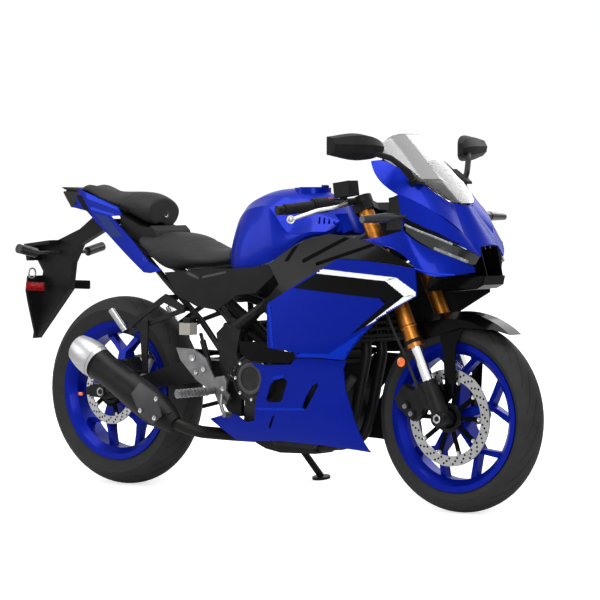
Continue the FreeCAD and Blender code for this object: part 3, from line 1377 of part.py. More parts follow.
def build():
    return {
        "frame": frame(),
        "engine": engine(),
        "exhaust_headers": exhaust_headers(),
        "muffler": muffler(),
        "radiator": radiator(),
        "swingarm": swingarm(),
        "rear_shock": rear_shock(),
        "drive_chain": drive_chain(),
        "chain_guard": chain_guard(),
        "rear_brake": rear_brake(),
        "rider_footrests": rider_footrests(),
        "pillion_hangers": pillion_hangers(),
        "fuel_tank": fuel_tank(),
        "fuel_cap": fuel_cap(),
        "rider_seat": rider_seat(),
        "pillion_seat": pillion_seat(),
        "side_covers": side_covers(),
        "tail_panels": tail_panels(),
        "rear_lamps": rear_lamps(),
        "plate_holder": plate_holder(),
        "nose_cowl": nose_cowl(),
        "nose_intake": nose_intake(),
        "headlights": headlights(),
        "windscreen": windscreen(),
        "mirrors": mirrors(),
        "cockpit_panels": cockpit_panels(),
        "side_fairings": side_fairings(),
        "infill_panels": infill_panels(),
        "lower_cowls": lower_cowls(),
        "front_indicators": front_indicators(),
        "fork_clamps": fork_clamps(),
        "fork_outers": fork_outers(),
        "fork_inners": fork_inners(),
        "fork_legs": fork_legs(),
        "handlebars": handlebars(),
        "hand_controls": hand_controls(),
        "front_fender": front_fender(),
        "front_brake": front_brake(),
        "front_rim": front_rim(),
        "front_tyre": front_tyre(),
        "front_disc": front_disc(),
        "rear_rim": rear_rim(),
        "rear_tyre": rear_tyre(),
        "rear_disc": rear_disc(),
        "rear_sprocket": rear_sprocket(),
        "side_stand": side_stand(),
    }


def lean_over(shape):
    """Tip the upright bike to its left until it rests on the stand."""
    leaned = shape.copy()
    leaned.rotate(V(0, 0, 0), V(1, 0, 0), -lean_angle)
    return leaned


def main():
    os.makedirs("parts", exist_ok=True)
    leaned = {name: lean_over(shape) for name, shape in build().items()}
    box = Part.makeCompound(list(leaned.values())).optimalBoundingBox()
    origin = V(box.Center.x, box.Center.y, -ground_drop)
    for name, shape in leaned.items():
        shape.translate(origin * -1)
        shape.exportStep("parts/" + name + ".step")


main()
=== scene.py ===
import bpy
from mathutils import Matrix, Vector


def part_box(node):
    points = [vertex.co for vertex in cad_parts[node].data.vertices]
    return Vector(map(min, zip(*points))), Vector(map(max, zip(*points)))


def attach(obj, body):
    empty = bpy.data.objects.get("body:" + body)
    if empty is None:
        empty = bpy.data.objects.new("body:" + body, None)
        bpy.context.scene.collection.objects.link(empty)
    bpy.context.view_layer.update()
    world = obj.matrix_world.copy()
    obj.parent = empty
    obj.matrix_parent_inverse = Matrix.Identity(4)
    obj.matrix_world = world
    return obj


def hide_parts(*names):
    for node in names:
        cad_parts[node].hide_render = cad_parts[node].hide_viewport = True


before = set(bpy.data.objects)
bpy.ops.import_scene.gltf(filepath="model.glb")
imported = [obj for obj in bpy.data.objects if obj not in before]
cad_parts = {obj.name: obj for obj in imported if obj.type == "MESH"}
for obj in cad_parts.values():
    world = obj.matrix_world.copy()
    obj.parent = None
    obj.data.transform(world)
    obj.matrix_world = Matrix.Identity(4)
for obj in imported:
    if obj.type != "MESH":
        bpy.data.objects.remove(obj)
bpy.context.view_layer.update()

import math

import bmesh
import bpy
from mathutils import Matrix, Vector

bpy.ops.object.select_all(action="DESELECT")
scene = bpy.context.scene
scene.view_settings.view_transform = "Standard"
print("frame loaded")

# Pieces are laid out on the upright bike in millimetres: x forward from the rear axle, y left, z up
stance = {"lean": 8.5, "rake": 25.0, "wheelbase": 1380, "frontAxleHeight": 294, "rearAxleHeight": 314}


def at(x, y, z):
    return Vector((x, y, z)) / 1000


sideways = Vector((0, 1, 0))
frontAxle = at(stance["wheelbase"], 0, stance["frontAxleHeight"])
rearAxle = at(0, 0, stance["rearAxleHeight"])
axleLow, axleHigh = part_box("rear_rim")
leanTurn = Matrix.Rotation(math.radians(-stance["lean"]), 4, "X")
rowShift = (axleLow + axleHigh) / 2 - leanTurn @ rearAxle
toRow = Matrix.Translation(rowShift) @ leanTurn  # from the upright bike onto the leaned one
toBike = toRow.inverted()

# The camera stands where the photograph was taken from, and leans with the bike. Its distance and target
# are metres, and its focal length is counted in pixels of the square frame.

photoView = {"azimuth": 38.91, "elevation": 2.39, "distance": 9.417, "target": (0.7467, 0, 0.6339),
             "focalPixels": 2954, "framePixels": 600, "sensor": 36}


def aimCamera(view):
    azimuth = math.radians(view["azimuth"])
    elevation = math.radians(view["elevation"])
    back = Vector((math.sin(azimuth) * math.cos(elevation), -math.cos(azimuth) * math.cos(elevation),
                   math.sin(elevation)))
    right = Vector((math.cos(azimuth), math.sin(azimuth), 0))
    up = back.cross(right)
    turn = Matrix((right, up, back)).transposed().to_4x4()
    place = Matrix.Translation(Vector(view["target"]) + back * view["distance"]) @ turn
    bpy.ops.object.camera_add()
    camera = bpy.context.object
    camera.name = "photoCamera"
    camera.matrix_world = toRow @ place
    camera.data.sensor_width = view["sensor"]
    camera.data.lens = view["sensor"] * view["focalPixels"] / view["framePixels"]
    scene.camera = camera


aimCamera(photoView)

# The lamps stand round the leaned bike, in metres and watts
lamps = {
    "overhead": {"at": (0.1, -0.3, 3.4), "aim": (0.0, 0, 0.6), "size": (3.4, 2.0), "power": 130},
    "frontSide": {"at": (2.6, -2.8, 1.9), "aim": (0.1, 0, 0.6), "size": (1.6, 1.6), "power": 62},
    "rearSide": {"at": (-2.8, -2.4, 1.8), "aim": (0.0, 0, 0.6), "size": (1.2, 1.8), "power": 30},
    "farSide": {"at": (0.4, 3.2, 2.2), "aim": (0.0, 0, 0.6), "size": (2.4, 1.4), "power": 35},
}
for lampName, lamp in lamps.items():
    bpy.ops.object.light_add(type="AREA", location=lamp["at"])
    lampObject = bpy.context.object
    lampObject.name = lampName
    lampObject.data.shape = "RECTANGLE"
    lampObject.data.size, lampObject.data.size_y = lamp["size"]
    lampObject.data.energy = lamp["power"]
    direction = Vector(lamp["aim"]) - Vector(lamp["at"])
    lampObject.rotation_euler = direction.to_track_quat("-Z", "Y").to_euler()

backdrop = {"fill": 0.42, "white": 1.0}
world = bpy.data.worlds.new("studio")
scene.world = world
world.use_nodes = True
worldNodes = world.node_tree.nodes
worldLinks = world.node_tree.links
rays = worldNodes.new("ShaderNodeLightPath")
seen = worldNodes.new("ShaderNodeMath")
seen.operation = "MAXIMUM"
worldLinks.new(rays.outputs["Is Camera Ray"], seen.inputs[0])
shown = worldNodes.new("ShaderNodeMath")
shown.operation = "MAXIMUM"
worldLinks.new(rays.outputs["Is Glossy Ray"], shown.inputs[0])
worldLinks.new(rays.outputs["Is Transmission Ray"], shown.inputs[1])
worldLinks.new(shown.outputs[0], seen.inputs[1])
level = worldNodes.new("ShaderNodeMapRange")
level.inputs["To Min"].default_value = backdrop["fill"]
level.inputs["To Max"].default_value = backdrop["white"]
worldLinks.new(seen.outputs[0], level.inputs["Value"])
worldLinks.new(level.outputs["Result"], worldNodes["Background"].inputs["Strength"])
worldNodes["Background"].inputs["Color"].default_value = (1, 1, 1, 1)

floorLook = {"size": 60, "color": (0.8, 0.8, 0.8, 1), "roughness": 0.9, "specular": 0.0, "lift": 0.68}
bpy.ops.mesh.primitive_plane_add(size=floorLook["size"])
floor = bpy.context.object
floor.name = "floor"
floorMaterial = bpy.data.materials.new("paleFloor")
floorMaterial.use_nodes = True
floorNodes = floorMaterial.node_tree.nodes
floorLinks = floorMaterial.node_tree.links
floorShader = floorNodes["Principled BSDF"]
floorShader.inputs["Base Color"].default_value = floorLook["color"]
floorShader.inputs["Roughness"].default_value = floorLook["roughness"]
floorShader.inputs["Specular IOR Level"].default_value = floorLook["specular"]
floorRays = floorNodes.new("ShaderNodeLightPath")
floorGlow = floorNodes.new("ShaderNodeEmission")
floorSum = floorNodes.new("ShaderNodeAddShader")
floorLift = floorNodes.new("ShaderNodeMath")
floorLift.operation = "MULTIPLY"
floorLift.inputs[1].default_value = floorLook["lift"]
floorLinks.new(floorRays.outputs["Is Camera Ray"], floorLift.inputs[0])
floorLinks.new(floorLift.outputs[0], floorGlow.inputs["Strength"])
floorLinks.new(floorShader.outputs[0], floorSum.inputs[0])
floorLinks.new(floorGlow.outputs[0], floorSum.inputs[1])
floorLinks.new(floorSum.outputs[0], floorNodes["Material Output"].inputs["Surface"])
floor.data.materials.append(floorMaterial)
print("camera, lamps and floor set")

# Surface effects that the finishes share. Each adds roughness and bump, and a mask that starts and ends
# at two levels mixes in the second colour. The coarse noise has a share of the finish's own scale.
surfaceLooks = {
    "flake": {"roughness": 0.05, "depth": 0.0004, "mask": (0.55, 1.0), "detail": 1.0, "coarse": 0.12},
    "grain": {"roughness": 0.1, "depth": 0.0003, "mask": (0.4, 0.7), "detail": 3.0, "coarse": 0.02},
    "cast": {"roughness": 0.12, "depth": 0.0006, "mask": (0.42, 0.68), "detail": 4.0, "coarse": 0.03},
    "drawn": {"roughness": 0.15, "depth": 0.0001, "mask": (0.35, 0.7), "detail": 3.0,
              "stretch": (0.05, 0.05, 1)},
    "leather": {"roughness": 0.1, "depth": 0.0004, "mask": (0.45, 0.7), "detail": 3.0, "coarse": 0.015,
                "creases": (0.0, 0.25)},
}


def newSurfaceGroup(name):
    group = bpy.data.node_groups.new(name, "ShaderNodeTree")
    for label, kind, value in (("Color", "NodeSocketColor", (0.5, 0.5, 0.5, 1)),
                               ("Second Color", "NodeSocketColor", (0.4, 0.4, 0.4, 1)),
                               ("Scale", "NodeSocketFloat", 100.0), ("Strength", "NodeSocketFloat", 0.1),
                               ("Roughness", "NodeSocketFloat", 0.5)):
        socket = group.interface.new_socket(label, in_out="INPUT", socket_type=kind)
        socket.default_value = value
    for label, kind in (("Color", "NodeSocketColor"), ("Roughness", "NodeSocketFloat"),
                        ("Normal", "NodeSocketVector")):
        group.interface.new_socket(label, in_out="OUTPUT", socket_type=kind)
    return group, group.nodes.new("NodeGroupInput"), group.nodes.new("NodeGroupOutput")


# Wires one effect from a pattern that gives a mask and a height
def buildSurface(name, pattern, look):
    group, inputs, outputs = newSurfaceGroup(name)
    nodes, links = group.nodes, group.links
    coordinates = nodes.new("ShaderNodeTexCoord").outputs["Object"]
    mask, height = pattern(nodes, links, coordinates, inputs.outputs["Scale"], look)
    mix = nodes.new("ShaderNodeMix")
    mix.data_type = "RGBA"
    links.new(mask, mix.inputs["Factor"])
    links.new(inputs.outputs["Color"], mix.inputs[6])  # the colour sockets of a Mix node are 6 and 7
    links.new(inputs.outputs["Second Color"], mix.inputs[7])
    links.new(mix.outputs[2], outputs.inputs["Color"])
    vary = nodes.new("ShaderNodeMath")
    vary.operation = "MULTIPLY_ADD"
    vary.inputs[1].default_value = look["roughness"]
    links.new(mask, vary.inputs[0])
    links.new(inputs.outputs["Roughness"], vary.inputs[2])
    links.new(vary.outputs[0], outputs.inputs["Roughness"])
    bump = nodes.new("ShaderNodeBump")
    bump.inputs["Distance"].default_value = look["depth"]
    links.new(inputs.outputs["Strength"], bump.inputs["Strength"])
    links.new(height, bump.inputs["Height"])
    links.new(bump.outputs["Normal"], outputs.inputs["Normal"])
    return group


def cellsOf(nodes, links, vector, scale, feature):
    cells = nodes.new("ShaderNodeTexVoronoi")
    cells.feature = feature
    links.new(vector, cells.inputs["Vector"])
    links.new(scale, cells.inputs["Scale"])
    return cells.outputs


def noiseOf(nodes, links, vector, scale, detail, share=1.0):
    size = nodes.new("ShaderNodeMath")
    size.operation = "MULTIPLY"
    size.inputs[1].default_value = share
    links.new(scale, size.inputs[0])
    noise = nodes.new("ShaderNodeTexNoise")
    noise.inputs["Detail"].default_value = detail
    links.new(vector, noise.inputs["Vector"])
    links.new(size.outputs[0], noise.inputs["Scale"])
    return noise.outputs["Fac"]


def rampOf(nodes, links, value, low, high):
    ramp = nodes.new("ShaderNodeMapRange")
    ramp.inputs["From Min"].default_value = low
    ramp.inputs["From Max"].default_value = high
    links.new(value, ramp.inputs["Value"])
    return ramp.outputs["Result"]


def flakePattern(nodes, links, coordinates, scale, look):
    cells = cellsOf(nodes, links, coordinates, scale, "F1")
    peel = noiseOf(nodes, links, coordinates, scale, look["detail"], look["coarse"])
    return rampOf(nodes, links, cells["Color"], *look["mask"]), peel


def grainPattern(nodes, links, coordinates, scale, look):
    cells = cellsOf(nodes, links, coordinates, scale, "SMOOTH_F1")
    wear = noiseOf(nodes, links, coordinates, scale, look["detail"], look["coarse"])
    return rampOf(nodes, links, wear, *look["mask"]), cells["Distance"]


def castPattern(nodes, links, coordinates, scale, look):
    fine = noiseOf(nodes, links, coordinates, scale, look["detail"])
    stains = noiseOf(nodes, links, coordinates, scale, look["detail"], look["coarse"])
    return rampOf(nodes, links, stains, *look["mask"]), fine


def drawnPattern(nodes, links, coordinates, scale, look):
    mapping = nodes.new("ShaderNodeMapping")
    mapping.inputs["Scale"].default_value = look["stretch"]
    links.new(coordinates, mapping.inputs["Vector"])
    lines = noiseOf(nodes, links, mapping.outputs["Vector"], scale, look["detail"])
    return rampOf(nodes, links, lines, *look["mask"]), lines


def leatherPattern(nodes, links, coordinates, scale, look):
    cells = cellsOf(nodes, links, coordinates, scale, "DISTANCE_TO_EDGE")
    pebble = rampOf(nodes, links, cells["Distance"], *look["creases"])
    rub = noiseOf(nodes, links, coordinates, scale, look["detail"], look["coarse"])
    return rampOf(nodes, links, rub, *look["mask"]), pebble


patterns = {"flake": ("paintFlake", flakePattern), "grain": ("mouldedGrain", grainPattern),
            "cast": ("castSkin", castPattern), "drawn": ("drawnLines", drawnPattern),
            "leather": ("seatGrain", leatherPattern)}
surfaceGroups = {}
for surfaceName, (groupName, pattern) in patterns.items():
    surfaceGroups[surfaceName] = buildSurface(groupName, pattern, surfaceLooks[surfaceName])

# A finish gives only what differs from the plain one
plainFinish = {"metallic": 0.0, "coat": 0.0, "coatRoughness": 0.1, "specular": 0.5}
finishes = {
    "bluePaint": {"group": "flake", "color": (0.0004, 0.0085, 0.22), "second": (0.001, 0.016, 0.34),
                  "scale": 1400, "strength": 0.05, "roughness": 0.32, "metallic": 0.35, "coat": 0.06,
                  "coatRoughness": 0.03, "specular": 0.05},
    "blueRim": {"group": "flake", "color": (0.0004, 0.0065, 0.21), "second": (0.001, 0.016, 0.34),
                "scale": 1400, "strength": 0.05, "roughness": 0.35, "metallic": 0.35, "coat": 0.05,
                "specular": 0.05},
    "glossBlack": {"group": "flake", "color": (0.0012, 0.0012, 0.0014), "second": (0.002, 0.002, 0.003),
                   "scale": 900, "strength": 0.03, "roughness": 0.18, "coat": 0.04, "coatRoughness": 0.05,
                   "specular": 0.05},
    "mouldedBlack": {"group": "grain", "color": (0.006, 0.006, 0.0065), "second": (0.01, 0.01, 0.0105),
                     "scale": 900, "strength": 0.35, "roughness": 0.5, "specular": 0.1},
    "satinBlackMetal": {"group": "cast", "color": (0.006, 0.006, 0.0065), "second": (0.011, 0.011, 0.012),
                        "scale": 700, "strength": 0.2, "roughness": 0.4, "metallic": 0.1, "specular": 0.12},
    "castDark": {"group": "cast", "color": (0.012, 0.012, 0.013), "second": (0.026, 0.025, 0.024),
                 "scale": 600, "strength": 0.3, "roughness": 0.42, "metallic": 0.3, "specular": 0.2},
    "graphite": {"group": "cast", "color": (0.13, 0.13, 0.135), "second": (0.19, 0.19, 0.19), "scale": 800,
                 "strength": 0.15, "roughness": 0.38, "metallic": 0.8},
    "steel": {"group": "drawn", "color": (0.33, 0.33, 0.33), "second": (0.42, 0.42, 0.42), "scale": 900,
              "strength": 0.1, "roughness": 0.28, "metallic": 1.0},
    "chrome": {"group": "drawn", "color": (0.72, 0.72, 0.74), "second": (0.8, 0.8, 0.8), "scale": 300,
               "strength": 0.0, "roughness": 0.1, "metallic": 1.0},
    "gold": {"group": "drawn", "color": (0.32, 0.11, 0.014), "second": (0.48, 0.19, 0.032), "scale": 500,
             "strength": 0.02, "roughness": 0.3, "metallic": 1.0, "coat": 0.1},
    "rubber": {"group": "cast", "color": (0.017, 0.017, 0.017), "second": (0.024, 0.024, 0.0235),
               "scale": 500, "strength": 0.25, "roughness": 0.62, "specular": 0.15},
    "seatVinyl": {"group": "leather", "color": (0.009, 0.009, 0.009), "second": (0.014, 0.014, 0.014),
                  "scale": 700, "strength": 0.5, "roughness": 0.52, "specular": 0.15},
    "chainSteel": {"group": "cast", "color": (0.13, 0.12, 0.1), "second": (0.05, 0.045, 0.04), "scale": 400,
                   "strength": 0.2, "roughness": 0.35, "metallic": 0.9},
    "heatedSteel": {"group": "cast", "color": (0.006, 0.006, 0.006), "second": (0.013, 0.012, 0.011),
                    "scale": 120, "strength": 0.1, "roughness": 0.4, "metallic": 0.3, "specular": 0.15},
    # Painted light on the blue paint: the two lighter blues are painted highlights, the darker one painted
    # shade
    "blueEdge": {"group": "flake", "color": (0.002, 0.03, 0.5), "second": (0.01, 0.06, 0.7), "scale": 1400,
                 "strength": 0.05, "roughness": 0.34, "metallic": 0.1, "coat": 0.1, "coatRoughness": 0.05,
                 "specular": 0.1},
    "shadeBlue": {"group": "flake", "color": (0.004, 0.018, 0.12), "second": (0.006, 0.025, 0.16),
                  "scale": 1400, "strength": 0.05, "roughness": 0.3, "metallic": 0.2, "coat": 0.1,
                  "coatRoughness": 0.05, "specular": 0.1},
    "paleHighlightBlue": {"group": "flake", "color": (0.0008, 0.02, 0.36), "second": (0.002, 0.03, 0.48),
                 "scale": 1400, "strength": 0.05, "roughness": 0.34, "metallic": 0.2, "coat": 0.05,
                 "coatRoughness": 0.05, "specular": 0.05},
    # Flat black: painted shade in tread grooves, disc holes and panel gaps, and the disc carriers' own black
    "shadeAndCarrierBlack": {"group": "grain", "color": (0.0012, 0.0012, 0.0013), "second": (0.003, 0.003, 0.003),
                    "scale": 900, "strength": 0.1, "roughness": 0.7, "specular": 0.03},
    "brushedCan": {"group": "drawn", "color": (0.42, 0.42, 0.43), "second": (0.36, 0.36, 0.37), "scale": 90,
                   "strength": 0.03, "roughness": 0.36, "metallic": 0.85, "specular": 0.4},
    "tankGrey": {"group": "grain", "color": (0.26, 0.25, 0.22), "second": (0.3, 0.29, 0.26), "scale": 500,
                 "strength": 0.1, "roughness": 0.45, "specular": 0.3},
    "whitePaint": {"group": "flake", "color": (0.74, 0.75, 0.77), "second": (0.7, 0.71, 0.73), "scale": 900,
                   "strength": 0.03, "roughness": 0.35, "coat": 0.1, "coatRoughness": 0.05,
                   "specular": 0.3},
    "coverGrey": {"group": "grain", "color": (0.03, 0.03, 0.032), "second": (0.04, 0.04, 0.042),
                  "scale": 900, "strength": 0.25, "roughness": 0.42, "specular": 0.25},
    "reflectorAmber": {"group": "flake", "color": (0.75, 0.12, 0.01), "second": (0.9, 0.25, 0.03),
                       "scale": 260, "strength": 0.6, "roughness": 0.2, "coat": 0.6, "coatRoughness": 0.02,
                       "specular": 0.4},
    "switchRed": {"group": "flake", "color": (0.5, 0.01, 0.008), "second": (0.6, 0.02, 0.015), "scale": 300,
                  "strength": 0.1, "roughness": 0.35, "coat": 0.2, "coatRoughness": 0.05, "specular": 0.3},
    "displayGlass": {"group": "flake", "color": (0.004, 0.005, 0.006), "second": (0.01, 0.012, 0.014),
                     "scale": 200, "strength": 0.02, "roughness": 0.08, "coat": 0.4, "coatRoughness": 0.02,
                     "specular": 0.4},
    "mirrorGlass": {"group": "drawn", "color": (0.7, 0.72, 0.74), "second": (0.72, 0.74, 0.76),
                    "scale": 100, "strength": 0.0, "roughness": 0.03, "metallic": 1.0},
    "lampWhite": {"group": "flake", "color": (0.16, 0.165, 0.17), "second": (0.36, 0.37, 0.38),
                  "scale": 160, "strength": 0.6, "roughness": 0.2, "coat": 0.2, "coatRoughness": 0.02,
                  "specular": 0.2},
    "lampRed": {"group": "flake", "color": (0.16, 0.001, 0.002), "second": (0.5, 0.01, 0.01), "scale": 300,
                "strength": 0.05, "roughness": 0.15, "coat": 0.05, "coatRoughness": 0.02, "specular": 0.03},
    "lampSmoked": {"group": "flake", "color": (0.018, 0.018, 0.02), "second": (0.035, 0.035, 0.036),
                   "scale": 300, "strength": 0.1, "roughness": 0.15, "coat": 0.15, "coatRoughness": 0.02,
                   "specular": 0.15},
}
clearGlass = {"roughness": 0.02, "ior": 1.3}


def makeFinish(name, finish):
    material = bpy.data.materials.new(name)
    material.use_nodes = True
    nodes, links = material.node_tree.nodes, material.node_tree.links
    shader = nodes["Principled BSDF"]
    surface = nodes.new("ShaderNodeGroup")
    surface.node_tree = surfaceGroups[finish["group"]]
    surface.inputs["Color"].default_value = (*finish["color"], 1)
    surface.inputs["Second Color"].default_value = (*finish["second"], 1)
    surface.inputs["Scale"].default_value = finish["scale"]
    surface.inputs["Strength"].default_value = finish["strength"]
    surface.inputs["Roughness"].default_value = finish["roughness"]
    links.new(surface.outputs["Color"], shader.inputs["Base Color"])
    links.new(surface.outputs["Roughness"], shader.inputs["Roughness"])
    links.new(surface.outputs["Normal"], shader.inputs["Normal"])
    shader.inputs["Metallic"].default_value = finish["metallic"]
    shader.inputs["Coat Weight"].default_value = finish["coat"]
    shader.inputs["Coat Roughness"].default_value = finish["coatRoughness"]
    shader.inputs["Specular IOR Level"].default_value = finish["specular"]
    return material


def makeClear(name, glass):
    material = bpy.data.materials.new(name)
    material.use_nodes = True
    shader = material.node_tree.nodes["Principled BSDF"]
    shader.inputs["Base Color"].default_value = (1, 1, 1, 1)
    shader.inputs["Roughness"].default_value = glass["roughness"]
    shader.inputs["Transmission Weight"].default_value = 1.0
    shader.inputs["IOR"].default_value = glass["ior"]
    return material


materials = {}
for finishName, finish in finishes.items():
    materials[finishName] = makeFinish(finishName, {**plainFinish, **finish})
materials["clearSheet"] = makeClear("clearSheet", clearGlass)
print("materials made")

nodeFinishes = {
    "bluePaint": ["fuel_tank", "nose_cowl", "side_fairings", "lower_cowls", "tail_panels"],
    "blueRim": ["front_rim", "rear_rim"],
    "glossBlack": ["infill_panels", "front_fender", "nose_intake"],
    "mouldedBlack": ["side_covers", "plate_holder", "cockpit_panels", "chain_guard", "mirrors",
                     "hand_controls"],
    "satinBlackMetal": ["frame", "swingarm", "muffler", "handlebars", "fork_clamps", "fork_legs",
                        "pillion_hangers", "radiator", "front_brake", "rear_brake", "side_stand",
                        "rear_shock", "fuel_cap"],
    "castDark": ["engine"],
    "graphite": ["rider_footrests"],
    "steel": ["front_disc", "rear_disc", "rear_sprocket"],
    "chrome": ["fork_inners"],
    "gold": ["fork_outers"],
    "rubber": ["front_tyre", "rear_tyre"],
    "seatVinyl": ["rider_seat", "pillion_seat"],
    "chainSteel": ["drive_chain"],
    "heatedSteel": ["exhaust_headers"],
    "displayGlass": ["headlights"],
    "lampRed": ["rear_lamps"],
    "lampSmoked": ["front_indicators"],
    "clearSheet": ["windscreen"],
}
for finishName, nodeNames in nodeFinishes.items():
    for nodeName in nodeNames:
        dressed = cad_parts[nodeName].data
        dressed.materials.clear()
        dressed.materials.append(materials[finishName])

# Some nodes carry a second finish on the faces that a test picks, by their place in millimetres on the
# upright bike and their normal
turnBack = toBike.to_3x3()


def paintFaces(nodeName, finish, wanted):
    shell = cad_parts[nodeName].data
    shell.materials.append(materials[finish])
    for face in shell.polygons:
        if wanted(toBike @ face.center * 1000, turnBack @ face.normal):
            face.material_index = len(shell.materials) - 1


def nearLine(spot, points, reach):
    for start, end in zip(points, points[1:]):
        along = end - start
        share = min(max((spot - start).dot(along) / along.length_squared, 0), 1)
        if (spot - start - along * share).length < reach:
            return True
    return False


discCarriers = {
    "front_disc": {"x": stance["wheelbase"], "z": stance["frontAxleHeight"], "radius": 116},
    "rear_disc": {"x": 0, "z": stance["rearAxleHeight"], "radius": 83},
}
for discName, carrier in discCarriers.items():
    paintFaces(discName, "shadeAndCarrierBlack", lambda spot, normal: math.hypot(
        spot.x - carrier["x"], spot.z - carrier["z"]) < carrier["radius"])

panelBacks = {"inward": -0.3, "downward": -0.75, "noseMiddle": 60}


def turnsInward(spot, normal):
    return normal.y * math.copysign(1, spot.y) < panelBacks["inward"]


for panelName in ("side_fairings", "lower_cowls", "tail_panels"):
    paintFaces(panelName, "mouldedBlack", turnsInward)
paintFaces("nose_cowl", "mouldedBlack",
           lambda spot, normal: abs(spot.y) > panelBacks["noseMiddle"] and turnsInward(spot, normal)
           or normal.z < panelBacks["downward"])

tailTop = {"front": 20, "above": 966, "upward": 0.2, "rearEnd": -180}
paintFaces("tail_panels", "glossBlack",
           lambda spot, normal: spot.x < tailTop["front"] and spot.z > tailTop["above"]
           and normal.z > tailTop["upward"] or spot.x < tailTop["rearEnd"])

rearLamps = {"split": 840, "sideways": 0.6}  # the indicators are below the split, the tail lamp above it
paintFaces("rear_lamps", "lampSmoked", lambda spot, normal: spot.z < rearLamps["split"])
paintFaces("rear_lamps", "glossBlack",
           lambda spot, normal: spot.z > rearLamps["split"] and abs(normal.y) > rearLamps["sideways"])

mirrorFace = {"backward": -0.9, "inner": 205}
paintFaces("mirrors", "mirrorGlass",
           lambda spot, normal: normal.x < mirrorFace["backward"] and abs(spot.y) > mirrorFace["inner"])

foldedPeg = {"front": 110, "above": 526}
paintFaces("pillion_hangers", "steel",
           lambda spot, normal: spot.x < foldedPeg["front"] and spot.z > foldedPeg["above"])

reservoir = {"bottom": 500, "top": 556.5, "inner": -131}
paintFaces("rear_brake", "tankGrey",
           lambda spot, normal: reservoir["bottom"] < spot.z < reservoir["top"]
           and spot.y < reservoir["inner"])

silencer = {"front": (398, -202, 231), "rear": (2, -214, 453), "capFrom": 0.83}
silencerNose = Vector(silencer["front"])
silencerLine = Vector(silencer["rear"]) - silencerNose
paintFaces("muffler", "brushedCan",
           lambda spot, normal: (spot - silencerNose).dot(silencerLine) / silencerLine.length_squared
           > silencer["capFrom"])

levers = {"points": [(1087, -196, 945), (1091, -248, 933), (1051, -292, 923), (991, -346, 895)], "reach": 14}
leverLine = [Vector(point) for point in levers["points"]]
paintFaces("hand_controls", "steel",
           lambda spot, normal: nearLine(Vector((spot.x, -abs(spot.y), spot.z)), leverLine, levers["reach"]))
print("nodes dressed")

# Pieces are modelled on the upright bike in metres and moved onto the leaned one when finished


def deselect():
    active = bpy.context.view_layer.objects.active
    if active and active.mode == "EDIT":
        bpy.ops.object.mode_set(mode="OBJECT")
    bpy.ops.object.select_all(action="DESELECT")


def activate(piece):
    deselect()
    piece.select_set(True)
    bpy.context.view_layer.objects.active = piece
    return piece


def editing(piece, mode="FACE", action="DESELECT"):
    activate(piece)
    bpy.ops.object.mode_set(mode="EDIT")
    bpy.ops.mesh.select_mode(type=mode)
    bpy.ops.mesh.select_all(action=action)
    return bmesh.from_edit_mesh(piece.data)


def selectFaces(piece, wanted):
    mesh = editing(piece)
    for face in mesh.faces:
        face.select_set(wanted(face))
    bmesh.update_edit_mesh(piece.data)


def done():
    bpy.ops.object.mode_set(mode="OBJECT")
    return bpy.context.object


def mergeDoubles(piece, gap=0.00002):
    editing(piece, action="SELECT")
    bpy.ops.mesh.remove_doubles(threshold=gap)
    return done()


def applyModifier(piece, kind, **settings):
    activate(piece)
    modifier = piece.modifiers.new(kind.lower(), kind)
    for key, value in settings.items():
        setattr(modifier, key, value)
    bpy.ops.object.modifier_apply(modifier=modifier.name)
    return piece


def softenEdges(piece, width, segments=2, sharpest=35):
    return applyModifier(piece, "BEVEL", width=width / 1000, segments=segments,
                         angle_limit=math.radians(sharpest), limit_method="ANGLE")


def addBlock(low, high):
    deselect()
    bpy.ops.mesh.primitive_cube_add(size=1, location=(low + high) / 2, scale=high - low)
    bpy.ops.object.transform_apply(location=True, rotation=True, scale=True)
    return bpy.context.object


def addRod(start, end, radius, sides=24):
    deselect()
    along = end - start
    bpy.ops.mesh.primitive_cylinder_add(vertices=sides, radius=radius / 1000, depth=along.length,
                                        location=(start + end) / 2,
                                        rotation=along.to_track_quat("Z", "Y").to_euler())
    bpy.ops.object.transform_apply(location=True, rotation=True, scale=True)
    return bpy.context.object


def spanOf(outline):
    xs = [x for x, z in outline]
    zs = [z for x, z in outline]
    return min(xs), max(xs), min(zs), max(zs)


# Trims a piece to a convex outline of (x, z) points seen from the side
def trimTo(piece, outline):
    points = [at(x, 0, z) for x, z in outline]
    middle = sum(points, Vector()) / len(points)
    editing(piece)
    for start, end in zip(points, points[1:] + points[:1]):
        outward = (end - start).cross(sideways)
        if outward.dot(middle - start) > 0:
            outward = -outward
        bpy.ops.mesh.select_all(action="SELECT")
        bpy.ops.mesh.bisect(plane_co=start, plane_no=outward, use_fill=True, clear_outer=True)
    return done()


def addPlate(outline, low, high):
    back, front, bottom, top = spanOf(outline)
    return trimTo(addBlock(at(back, low, bottom), at(front, high, top)), outline)


facing = 0.9  # the least cosine between a direction and the normal of a face that looks along it

# A cap screw: a short cylinder whose top is inset and sunk, by shares of its own size
capScrew = {"sink": 0.45, "chamfer": 0.12}


def addBolt(centre, axis, radius, height, socket=0.55, sides=16):
    along = Vector(axis).normalized()
    halfway = along * height / 2000
    bolt = addRod(centre - halfway, centre + halfway, radius, sides)
    selectFaces(bolt, lambda face: face.normal.dot(along) > facing)
    bpy.ops.mesh.inset(thickness=radius * (1 - socket) / 1000)
    bpy.ops.transform.translate(value=-along * height * capScrew["sink"] / 1000)
    done()
    return softenEdges(bolt, radius * capScrew["chamfer"], 1)


# A ring: a cylinder whose two ends are inset and bridged through
def addRing(centre, axis, radius, inner, height, sides=32):
    along = Vector(axis).normalized()
    halfway = along * height / 2000
    ring = addRod(centre - halfway, centre + halfway, radius, sides)
    selectFaces(ring, lambda face: abs(face.normal.dot(along)) > facing)
    bpy.ops.mesh.inset(thickness=(radius - inner) / 1000)
    bpy.ops.mesh.bridge_edge_loops()
    return done()


